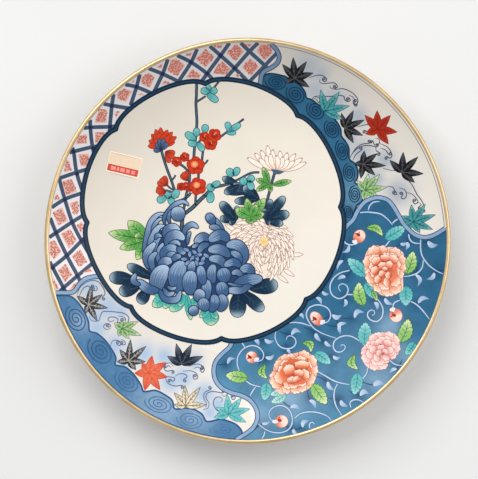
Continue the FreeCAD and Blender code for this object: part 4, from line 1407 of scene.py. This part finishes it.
# Petals of the blue chrysanthemum from the back to the front: width, then the spine from root to light tip.
BLUE_PETALS = (
    (4.8, (-75.2, -18), (-76, -6), (-74.2, 5), (-71.6, 14), (-67, 19.2), (-61.4, 20.6)),
    (3.0, (-71.6, 4), (-69.6, 11), (-66, 15.6), (-62.4, 16.6)),
    (3.8, (-61, 11), (-62, 17), (-58, 23), (-53, 27.6), (-47.5, 29.2), (-43.4, 26.2)),
    (3.0, (-57.6, 12), (-58.6, 18), (-55.4, 24)), (10.8, (-50.6, 14.6), (-51.6, 20), (-52, 25.8)),
    (3.8, (-17.8, 3), (-19.2, 9), (-24.4, 17.4)), (7.0, (-24.4, 12.6), (-27.4, 16.6), (-29.6, 20.6)),
    (4.8, (-20, 4.6), (-22.4, 9.4), (-28.4, 10.8)),
    (5.2, (-73, -18), (-72.6, -5), (-69.6, 5), (-65.6, 10.4), (-61.2, 11.2)),
    (4.8, (-70, -22), (-70.4, -10), (-68, -1), (-63.6, 4.8)), (4.6, (-66, -18), (-66, -9), (-62.6, -1.4)),
    (6.2, (-74, -21), (-74.8, -10), (-68.4, -1)), (5.0, (-69.4, -24), (-71.6, -14), (-67.4, -8)),
    (3.4, (-68.8, 0.6), (-67, 4.2), (-63.6, 3)), (6.4, (-62, 2), (-60, 8), (-55, 10), (-50, 7)),
    (4.4, (-47.6, 3), (-46, 9), (-41, 12.2), (-36.4, 9.6)), (3.0, (-44.8, -3), (-44, 3), (-42.4, 7)),
    (7.4, (-60.8, -4), (-58, 2.4), (-52.5, 4.6), (-46.4, 1)),
    (3.8, (-58.6, -7), (-56.8, -2.4), (-52.6, -1), (-49.6, -3.6)),
    (6.8, (-63.6, -14), (-61.6, -8), (-56, -5.4), (-51.8, -8)),
    (4.4, (-60.4, -14), (-57.6, -10.2), (-53, -9.8)), (7.0, (-66, -20), (-62, -15.6), (-55.6, -14.6)),
    (4.8, (-56, -15), (-53, -12), (-49, -11.4)), (5.4, (-52.8, -5), (-49.6, -7), (-46, -9.8)),
    (6.6, (-27, 0.6), (-33, 3), (-39.4, -1.6)), (8.6, (-13.4, 0), (-20, 4.4), (-29, 0.2)),
    (5.2, (-28, -2.4), (-33.4, -4), (-36.4, -9)), (3.2, (-36, -2), (-41.4, -5)),
    (8.6, (-3.6, -18), (-2.8, -9.4), (-7.6, -3), (-16, -3.4)), (5.8, (-6, -19), (-6.8, -11.6), (-12.6, -8)),
    (7.8, (-12.6, -12), (-20, -6.4), (-29.6, -6.8)), (6.8, (-15.4, -20), (-21, -14), (-29, -13.2)),
    (6.2, (-4.4, -19.6), (-10, -15.8), (-17.6, -18.6)), (7.4, (4.6, -26), (0.6, -20.6), (-5.8, -22.2)),
    (4.8, (-3.4, -27), (-7.4, -23.4), (-12, -24.4)), (9.0, (-10.4, -32), (0, -29.4), (11.4, -27.8)),
    (10.6, (-16, -31), (-17.5, -25.5), (-19.4, -20.2)), (6.4, (3, -33), (-6, -36.6), (-15.4, -36.6)),
    (2.2, (-3, -33.6), (-9, -33), (-15, -31.4)), (9.6, (-17.4, -42.4), (-18.8, -36), (-20.4, -30.4)),
    (7.4, (-25, -32), (-26.8, -24), (-24.6, -17.4)), (7.8, (-31, -44.6), (-30.4, -36), (-29.8, -28.6)),
    (7.4, (-32.6, -33), (-34.2, -25), (-35.2, -18.2)), (6.4, (-42, -26), (-41.6, -19.6), (-41, -14.4)),
    (12.8, (-67.6, -38.6), (-66, -27), (-59, -18.8)), (13.0, (-51, -39), (-52.6, -26), (-47.8, -15)),
    (11.4, (-41.6, -40.4), (-43, -31), (-41.2, -22)), (8.8, (-36.4, -45.6), (-35.6, -40.4), (-33, -36.6)),
    (8.4, (-21.4, -52.4), (-18.4, -46), (-20, -39.6)), (7.6, (-27.6, -53), (-24.2, -46), (-25.4, -39.8)),
    (8.8, (-30, -52), (-32.4, -47), (-33, -42.4)), (7.8, (-38.4, -55.4), (-40, -52), (-41.4, -48.4)),
    (5.2, (-66, -35.6), (-61.4, -43), (-53, -43.6), (-49.4, -37)),
    (4.0, (-63, -35), (-59, -39.6), (-54, -38.4)), (3.0, (-60, -33.6), (-56.4, -35.6), (-52.6, -34.6)),
    (7.2, (-65.6, -37), (-74, -35.8), (-82, -29)), (4.6, (-79.4, -33), (-84.8, -30), (-83.2, -24)),
)
EYE_PETALS = (
    (-47, -13.6), (-44.6, -16.4), (-43, -9.6), (-39.4, -8.4), (-36, -10.4), (-33, -13.6), (-37.6, -16.4),
    (-30.6, -11), (-34, -16.6), (-41, -13), (-37.6, -12.6), (-45.6, -6.6),
)
BLUE_BODY = (
    (-76, -17), (-75.6, -8), (-73.4, 2), (-66, 8), (-58, 6), (-47, 3), (-44, -4), (-38, -1), (-28, 0),
    (-14, 1), (-5, -3), (-3, -12), (-4, -18), (2, -23), (4, -30), (-8, -36), (-16, -42), (-20, -49),
    (-30, -50), (-37, -44), (-46, -38), (-58, -40), (-66, -36), (-69, -28), (-74, -22),
)
# Fine streaks of the wide blue petals: how far out from the spine, from where to where along it, and the
# colour.
DARK_STREAK = rgb(50, 80, 126)
PALE_STREAK = rgb(160, 182, 206)
PETAL_STREAKS = (
    (0.12, 0.1, 0.6, DARK_STREAK), (0.4, 0.08, 0.78, DARK_STREAK), (0.7, 0.14, 0.6, DARK_STREAK),
    (0.26, 0.5, 0.94, PALE_STREAK), (0.58, 0.56, 0.9, PALE_STREAK),
)
WIDE_PETAL = 5.5

BLUE_BODY_COLOUR = rgb(38, 64, 100)
BLUE_DEEP = rgb(56, 91, 130)
BLUE_TIP = rgb(142, 170, 200)
BLUE_LIGHT_TIP = rgb(186, 204, 222)
BLUE_LINE = rgb(22, 44, 76)
EYE_ROOT = rgb(88, 118, 160)
EYE_TIP = rgb(140, 166, 198)
EYE_SPOT = rgb(26, 44, 76)
EYE_SPOTS = ((-38, -12), (-41, -14.4), (-35.4, -12.4))

TWIG_EDGE = rgb(26, 42, 62)
TWIG_MIDDLE = rgb(74, 92, 106)
STALK_BLUE = rgb(70, 92, 114)
STALK_TOP = ((17.6, 53.4), (22, 53), (27.6, 51.4), (24, 49.6), (20, 49.6))
PLUM_LEAF_ROOT = rgb(78, 160, 158)
PLUM_LEAF_TIP = rgb(120, 186, 182)
PLUM_LEAF_RIM = rgb(40, 104, 114)
PLUM_LEAF_RIB = rgb(60, 134, 138)
RED = rgb(202, 58, 28)
RED_DARK = rgb(120, 22, 10)
PLUM_RED = rgb(190, 50, 24)
BLOSSOM_RIM = rgb(150, 30, 14)
BLOSSOM_HEART = rgb(230, 122, 82)
BLOSSOM_EYE = rgb(238, 172, 118)
HALF_SEEN_EYE = rgb(232, 124, 92)
OPENING_COLOURS = (rgb(54, 30, 38), rgb(192, 60, 34), rgb(204, 76, 46))
OPENING_RIM = rgb(138, 40, 26)
WHOLE_BLOSSOM = 5.5  # a blossom of a larger radius shows its whole heart

# The red chrysanthemum's petals and its blue calyx: root, colours and rim, and the calyx's tips.
RED_ROOT = (-64.4, 71.4)
RED_PETAL = (rgb(150, 34, 18), RED, rgb(204, 70, 38))
RED_RIM = rgb(150, 34, 16)
RED_CALYX_ROOT = (-63.8, 67.6)
RED_CALYX = (rgb(34, 56, 86), rgb(84, 108, 140))
RED_CALYX_RIM = rgb(22, 36, 60)
RED_CALYX_TIPS = ((-69.8, 67.4), (-68.4, 72.6), (-65.8, 76), (-62.2, 76), (-59.4, 72.8))

# The two pale chrysanthemums: their petals' colours from root to tip, their lines and their dark tips.
PINK_ROOT = (21.6, 51.8)
PINK_PETAL = (rgb(236, 204, 186), rgb(244, 230, 214), rgb(244, 234, 222))
WHITE_PETAL = (rgb(232, 196, 176), rgb(244, 230, 216), rgb(248, 240, 228))
PETAL_LINE = rgb(180, 138, 118)
PETAL_TIP = rgb(142, 104, 90)
WHITE_MIDDLE = (9.6, -5.6)
WHITE_EYE = (12.5, -0.5)
WHITE_REACH = (24.6, 23.6)
WHITE_GROUND = rgb(242, 224, 208)
STRAY_PETAL = rgb(244, 232, 218)
# Petals that stand out of the white chrysanthemum: tip and base.
STRAY_PETALS = (
    ((41.6, -10), (33, -10.6)), ((35, -26.4), (27, -21.4)), ((30.4, -31.4), (22, -25)),
    ((-16.6, 12), (-8, 7.4)),
)
EYE_YELLOW = rgb(248, 220, 156)
EYE_YELLOW_EDGE = rgb(240, 204, 148)
EYE_GRAIN = rgb(228, 176, 96)
GOLDEN_ANGLE = 137.5
# The white chrysanthemum's rings from the outside in: how many petals, how far out, and how long.
PETAL_RINGS = (
    (50, 1.0, 13.0), (44, 0.8, 12.0), (36, 0.6, 10.4), (26, 0.41, 8.2), (17, 0.25, 5.6), (9, 0.14, 3.4),
)

# Lobed leaves: name, leaves, how pointed, paint, and colours from root to tip, of the rim and of the veins.
LEAF_GROUPS = (
    ("navy_leaves", NAVY_LEAVES, 0.5, COBALT,
     (rgb(12, 42, 66), rgb(28, 60, 84), rgb(164, 188, 202), rgb(16, 36, 56), rgb(48, 72, 88))),
    ("bright_leaves", BRIGHT_LEAVES, 0.8, ENAMEL,
     (rgb(88, 160, 76), rgb(140, 186, 108), rgb(206, 220, 164), rgb(94, 116, 72), rgb(28, 92, 34))),
    ("sea_green_leaves", SEA_LEAVES, 0.7, ENAMEL,
     (rgb(72, 178, 170), rgb(104, 190, 172), rgb(206, 220, 160), rgb(66, 122, 116), rgb(42, 132, 130))),
)
# Three leaves lie over the white chrysanthemum, the green one on top: group and leaf, and by how many coats.
LEAVES_OVER = {(0, 3): 23, (0, 4): 23, (1, 0): 27}


def ribbon(points, width, root=0.5, end=0.46):
    """A petal round a bowed spine: full almost all along, and round at both ends."""
    spine = smooth(points, spacing=0.6)
    side = left_of(spine)
    t = np.linspace(0, 1, len(spine))
    swell = t ** root * (1 - t) ** end
    half = (swell / swell.max() * width / 2)[:, None]
    return np.vstack([spine + side * half, (spine - side * half)[-2:0:-1]])


def lobed_leaf(piece, base, lobes, coat, point, colours):
    """A leaf of lobes that spread from its base, each with its wash, outline, rib and side veins."""
    root_colour, middle, tip_colour, rim, vein = colours
    base = np.array(base, float)
    for k, (tip, width) in enumerate(lobes):
        level = coat + 0.5 * k
        along = np.array(tip, float) - base
        side = quarter_turn(along) / np.linalg.norm(along)
        outline = petal(base, tip, width, root=0.85, end=point, count=20)
        colour = wash(base, tip, root_colour, root_colour, root_colour, middle, tip_colour)
        piece.rimmed(outline, level, colour, rim, 0.5, lift=0.12)
        for share in (0.4, 0.55, 0.7):
            start = base + along * share
            for sign in (1, -1):
                piece.line([start, start + along * 0.14 + side * sign * width * 0.3], 0.35, level + 0.2, vein)
        rib = [base + along * 0.1, base + along * 0.5, base + along * 0.84]
        piece.line(rib, 0.6, level + 0.24, vein, ends=(1, 0.3))


def lobed_leaves():
    for n, (name, leaves, point, paint, colours) in enumerate(LEAF_GROUPS):
        piece = Painting(name, paint)
        for k, (base, *lobes) in enumerate(leaves):
            coat = BOUQUET_COAT + 2 + 3 * n + LEAVES_OVER.get((n, k), 0) + 0.05 * k
            lobed_leaf(piece, base, lobes, coat, point, colours)
        piece.drape()


def plum_branches():
    wood = Painting("plum_branches", COBALT)
    for width, points in TWIGS:
        line = smooth(points)
        wood.line(line, width + 0.5, BOUQUET_COAT, TWIG_EDGE)
        wood.line(line, width * 0.6, BOUQUET_COAT + 1, TWIG_MIDDLE)
    wood.fill(STALK_TOP, BOUQUET_COAT + 9, STALK_BLUE)
    wood.drape()


def plum_leaves():
    leaves = Painting("plum_leaves", ENAMEL)
    coat = BOUQUET_COAT + 4
    for base, tip, width in PLUM_LEAVES:
        outline = petal(base, tip, width, root=0.5, end=0.4, count=18)
        colour = wash(base, tip, PLUM_LEAF_ROOT, PLUM_LEAF_TIP)
        leaves.rimmed(outline, coat, colour, PLUM_LEAF_RIM, 0.55, lift=0.4)
        base, tip = np.array(base, float), np.array(tip, float)
        leaves.line([base, base + (tip - base) * 0.7], 0.4, coat + 0.6, PLUM_LEAF_RIB, ends=(1, 0.3))
    leaves.drape()


def plum_blossom(flowers, centre, radius, seen, n):
    """Five round petals, and as much of the heart as is seen."""
    coat = BOUQUET_COAT + 5 + 0.8 * (n % 3)
    for k in range(5):
        lobe = oval(polar(centre, radius * 0.5, 90 + 72 * k + 17 * n), radius * 1.12, radius * 1.12, 0, 18)
        colour = wash(centre, lobe.mean(0) * 2 - np.array(centre), RED_DARK, RED, PLUM_RED)
        flowers.rimmed(lobe, coat + 0.1 * k, colour, BLOSSOM_RIM, 0.45, lift=0.05)
    if radius > WHOLE_BLOSSOM:
        spot = polar(centre, radius * 0.2, 130)
        flowers.fill(oval(spot, radius * 0.86, radius * 0.8, 0, 16), coat + 0.7, BLOSSOM_HEART)
        flowers.fill(oval(spot, radius * 0.5, radius * 0.46, 0, 14), coat + 1.0, BLOSSOM_EYE)
    elif seen > 2:
        spot = polar(centre, radius * 0.3, 70)
        flowers.fill(oval(spot, radius * 0.7, radius * 0.3, 24 * n, 12), coat + 0.7, HALF_SEEN_EYE)


def plum_blossoms():
    flowers = Painting("plum_blossoms", ENAMEL)
    for n, (centre, radius, seen) in enumerate(BLOSSOMS):
        plum_blossom(flowers, centre, radius, seen, n)
    for root, *tips in OPENING_BUDS:
        for k, tip in enumerate(tips):
            outline = petal(root, tip, 3.9, root=0.9, end=0.42, count=18)
            coat = BOUQUET_COAT + 5.2 + 0.2 * k
            flowers.rimmed(outline, coat, wash(root, tip, *OPENING_COLOURS), OPENING_RIM, 0.45)
    flowers.drape()


def red_chrysanthemum():
    flower = Painting("red_chrysanthemum", ENAMEL)
    for k, tip in enumerate(RED_TIPS):
        outline = petal(RED_ROOT, tip, 4.6, root=0.9, end=0.75)
        flower.rimmed(outline, BOUQUET_COAT + 3 + 0.2 * k, wash(RED_ROOT, tip, *RED_PETAL), RED_RIM, 0.4)
    for k, tip in enumerate(RED_CALYX_TIPS):
        outline = petal(RED_CALYX_ROOT, tip, 3.6, root=0.8, end=0.5)
        colour = wash(RED_CALYX_ROOT, tip, *RED_CALYX)
        flower.rimmed(outline, BOUQUET_COAT + 6.4 + 0.2 * k, colour, RED_CALYX_RIM, 0.4)
    flower.drape()


def pink_chrysanthemum():
    flower = Painting("pink_chrysanthemum", ENAMEL)
    for k, tip in enumerate(PINK_TIPS):
        coat = BOUQUET_COAT + 2 + 0.3 * k
        bend = 1.2 if tip[0] < PINK_ROOT[0] else -1.2
        outline = petal(PINK_ROOT, tip, 3.8, root=1.1, end=0.6, bend=bend, count=20)
        flower.rimmed(outline, coat, wash(PINK_ROOT, tip, *PINK_PETAL), PETAL_LINE, 0.42, lift=0.15)
        inward = (np.array(PINK_ROOT) - tip) / math.dist(PINK_ROOT, tip)
        flower.line([tip + inward * 1.1, tip + inward * 0.1], 0.55, coat + 0.2, PETAL_TIP)
    flower.drape()


def white_chrysanthemum():
    """Rings of narrow curled petals, from the outermost in to the yellow eye."""
    flower = Painting("white_chrysanthemum", ENAMEL)
    eye = np.array(WHITE_EYE)
    flower.fill(oval(WHITE_MIDDLE, 44, 42, count=60), BOUQUET_COAT + 1, WHITE_GROUND, 2)
    coat = BOUQUET_COAT + 2
    for ring, (count, share, length) in enumerate(PETAL_RINGS):
        for k in range(count):
            turn = 360 * (k + 0.5 * (ring % 2) + 0.3 * math.sin(3.9 * k + ring)) / count
            middle = eye + (np.array(WHITE_MIDDLE) - eye) * share
            ragged = 1 + 0.07 * math.sin(2.7 * k + 1.7 * ring)
            tip = middle + polar((0, 0), share * ragged, turn) * WHITE_REACH
            inward = (eye - tip) / np.linalg.norm(eye - tip)
            # The petals rise from the eye and droop to either side of it.
            root = tip + inward * length + (0, 0.16 * length)
            bend = length * 0.3 * (1 if tip[0] > eye[0] else -1)
            outline = petal(root, tip, 2.8 - 0.1 * ring, root=0.7, end=0.5, bend=bend)
            flower.rimmed(outline, coat, wash(root, tip, *WHITE_PETAL), PETAL_LINE, 0.4, lift=0.06)
            # Two petals of every three have a dark tip.
            if k % 3:
                flower.line([tip + inward * 0.8, tip + inward * 0.1], 0.55, coat + 0.08, PETAL_TIP)
            coat += 0.12
    for tip, base in STRAY_PETALS:
        outline = petal(base, tip, 3.0, root=0.7, end=0.9)
        flower.rimmed(outline, BOUQUET_COAT + 1, STRAY_PETAL, PETAL_LINE, 0.42, lift=1)
    flower.fill(oval(eye, 6.6, 7.0, 0, 24), coat + 0.4, halo(eye, 4.6, EYE_YELLOW, EYE_YELLOW_EDGE))
    for k in range(13):
        grain = polar(eye, 0.75 * math.sqrt(k), GOLDEN_ANGLE * k)
        flower.fill(oval(grain, 1.0, 0.8, 31 * k, 8), coat + 0.8, EYE_GRAIN)
    flower.drape()


def petal_streaks(flower, spine, outline, coat):
    """Fine streaks between a petal's spine and either side of its outline."""
    middle = smooth(spine)
    half = len(outline) // 2
    for side in (outline[1:half], outline[:half:-1]):
        for share, start, end, colour in PETAL_STREAKS:
            reach = np.linspace(start, end, 8)
            on_spine = middle[(reach * (len(middle) - 1)).astype(int)]
            on_edge = side[(reach * (len(side) - 1)).astype(int)]
            flower.line(on_spine * (1 - share) + on_edge * share, 0.32, coat, colour, ends=(0.4, 0.2))


def blue_chrysanthemum():
    flower = Painting("blue_chrysanthemum", COBALT)
    flower.fill(smooth(BLUE_BODY, closed=True), BOUQUET_COAT + 20, BLUE_BODY_COLOUR)
    coat = BOUQUET_COAT + 21
    for k, (width, *spine) in enumerate(BLUE_PETALS):
        outline = ribbon(spine, width)
        pale = 0.5 + 0.5 * math.sin(1.9 * k)
        tip = mix(BLUE_TIP, BLUE_LIGHT_TIP, 0.6 * pale)
        # The right side of the flower is the darker one.
        tip = mix(tip, BLUE_DEEP, 0.35 if spine[0][0] > -32 else 0)
        colour = wash(spine[0], spine[-1], BLUE_DEEP, mix(BLUE_DEEP, tip, 0.12 + 0.2 * pale), tip)
        flower.rimmed(outline, coat, colour, BLUE_LINE, 0.68, spacing=1.4)
        if width > WIDE_PETAL:
            petal_streaks(flower, spine, outline, coat + 0.12)
        coat += 0.25
    for k, place in enumerate(EYE_PETALS):
        outline = oval(place, 5.2, 2.9, 47 * k, 16)
        flower.rimmed(outline, coat, wash(outline[0], outline[8], EYE_ROOT, EYE_TIP), BLUE_LINE, 0.5)
        coat += 0.2
    for place in EYE_SPOTS:
        flower.fill(oval(place, 1.8, 1.4), coat + 0.3, EYE_SPOT)
    flower.drape()


def bouquet():
    plum_branches()
    lobed_leaves()
    plum_leaves()
    plum_blossoms()
    red_chrysanthemum()
    pink_chrysanthemum()
    white_chrysanthemum()
    blue_chrysanthemum()


# ---------------------------------------------------------------- the label and the back

LABEL_CENTRE = (-91.7, 56.6)
LABEL_SIZE = (25.5, 15.7)
LABEL_TURN = -13.3
PAPER_COATS = 0.12 / COAT
PAPER_CREAM = rgb(228, 214, 190)
FRAME_INSET = 0.9
FRAME_WIDTH = 0.8
FRAME_PALE = rgb(253, 238, 224)
BAR_MIDDLE = (-0.15, -4.15)
BAR_EDGE = rgb(170, 52, 44)
BAR_RED = rgb(216, 76, 64)
BLOCK_PINK = rgb(248, 150, 134)
BLOCK_HEIGHT = 2.8
# The blocks in the bar: place along it, and width.
BLOCKS = ((-7.4, 3.7), (-3.8, 1.8), (-0.4, 3.6), (3.8, 2.8), (7.8, 2.8))

BACK_LINE_WIDTH = 1.3


def box(x, y, width, height):
    """A rectangle on the label, from its middle and its size."""
    w, h = width / 2, height / 2
    corners = [(x - w, y - h), (x + w, y - h), (x + w, y + h), (x - w, y + h)]
    return turned(corners, LABEL_TURN) + LABEL_CENTRE


def price_label():
    """The paper lies on the medallion's ground. Its print is a bar with plain blocks, without any text."""
    top = MEDALLION_COAT + 1 + PAPER_COATS
    paper = Painting("label_paper_sheet", PAPER)
    outline = box(0, 0, *LABEL_SIZE)
    paper.fill(outline, top, PAPER_CREAM)
    edge = split_sides(outline, 1.6)
    n = len(edge)
    sides = [(i, n + i, n + (i + 1) % n, (i + 1) % n) for i in range(n)]
    paper.add(np.vstack([edge, edge]), [top] * n + [MEDALLION_COAT - 0.5] * n, PAPER_CREAM, sides)
    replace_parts(paper.drape(), "price_label")
    printed = Painting("label_print", INK)
    frame_box = box(0, 0, LABEL_SIZE[0] - FRAME_INSET, LABEL_SIZE[1] - FRAME_INSET)
    printed.line(frame_box, FRAME_WIDTH, top + 0.6, FRAME_PALE, closed=True)
    printed.fill(box(*BAR_MIDDLE, 22.9, 4.9), top + 0.8, BAR_EDGE)
    printed.fill(box(*BAR_MIDDLE, 22.1, 4.1), top + 1.4, BAR_RED)
    for x, width in BLOCKS:
        printed.fill(box(x, BAR_MIDDLE[1], width, BLOCK_HEIGHT), top + 2, BLOCK_PINK)
    printed.drape()


def back_lines():
    """Two blue lines on the back, under the rim and above the foot. It is not seen, so they are a guess."""
    width = math.degrees(BACK_LINE_WIDTH / BACK.radius)
    at_rim = BACK.first - 7 * width
    at_foot = BACK.last + 6 * width
    for name, start in (("back_line_at_rim", at_rim), ("back_line_at_foot", at_foot)):
        outline = BACK.points(3, GLAZE + 2 * COAT, start, start - width)
        lathe(name, outline, LINE_BLUE, "underglaze_blue")


# ---------------------------------------------------------------- the studio

CAMERA_HEIGHT = 2.4
CAMERA_ASIDE = (-0.0063, 0.0010)  # the view's middle, from the plate's own
VIEW_WIDTH = 0.356  # how much the view takes in, at the height of the rim
SENSOR = 36.0
FLOOR_REACH = 4.0
CLIP_END = 20.0
FLOOR_GREY = (rgb(226, 225, 223), rgb(230, 229, 227))
WORLD_LIGHT = (0.95, 0.97, 1.0, 1)
WORLD_STRENGTH = 0.5
# Each lamp: name, place, size and power. Both face the plate.
LAMPS = (
    ("key", (-0.9, 1.5, 2.2), 2.2, 52.0),
    ("fill", (1.6, 0.4, 1.9), 2.0, 22.0),
)


def studio():
    """Pale floor, soft light from the top of the picture, and a long lens straight above the plate."""
    scene = bpy.context.scene
    scene.view_settings.view_transform = "Standard"
    floor_mesh = bpy.data.meshes.new("floor")
    corners = [(-1, -1), (1, -1), (1, 1), (-1, 1)]
    floor_mesh.from_pydata([(x * FLOOR_REACH, y * FLOOR_REACH, 0) for x, y in corners], [], [(0, 1, 2, 3)])
    floor = bpy.data.objects.new("floor", floor_mesh)
    floor_mesh.materials.append(mottled_material("pale_floor", *FLOOR_GREY, 0.7, 3.0))
    scene.collection.objects.link(floor)

    world = bpy.data.worlds.new("studio")
    scene.world = world
    world.use_nodes = True
    background = world.node_tree.nodes["Background"]
    background.inputs["Color"].default_value = WORLD_LIGHT
    background.inputs["Strength"].default_value = WORLD_STRENGTH
    for name, place, size, power in LAMPS:
        lamp = bpy.data.lights.new(name, "AREA")
        lamp.size = size
        lamp.energy = power
        light = bpy.data.objects.new(name, lamp)
        light.location = place
        light.rotation_euler = (-Vector(place)).to_track_quat("-Z", "Y").to_euler()
        scene.collection.objects.link(light)

    rim_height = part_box("gilt_rim_band")[1].z
    camera_data = bpy.data.cameras.new("camera")
    camera_data.sensor_fit = "HORIZONTAL"
    camera_data.sensor_width = SENSOR
    camera_data.lens = SENSOR * (CAMERA_HEIGHT - rim_height) / VIEW_WIDTH
    camera_data.clip_end = CLIP_END
    camera = bpy.data.objects.new("camera", camera_data)
    camera.location = (*CAMERA_ASIDE, CAMERA_HEIGHT)
    scene.collection.objects.link(camera)
    scene.camera = camera


glazed_skin()
gilded_rim()
carried_over()
lattice()
waves()
peony_field()
medallion()
bouquet()
price_label()
back_lines()
studio()
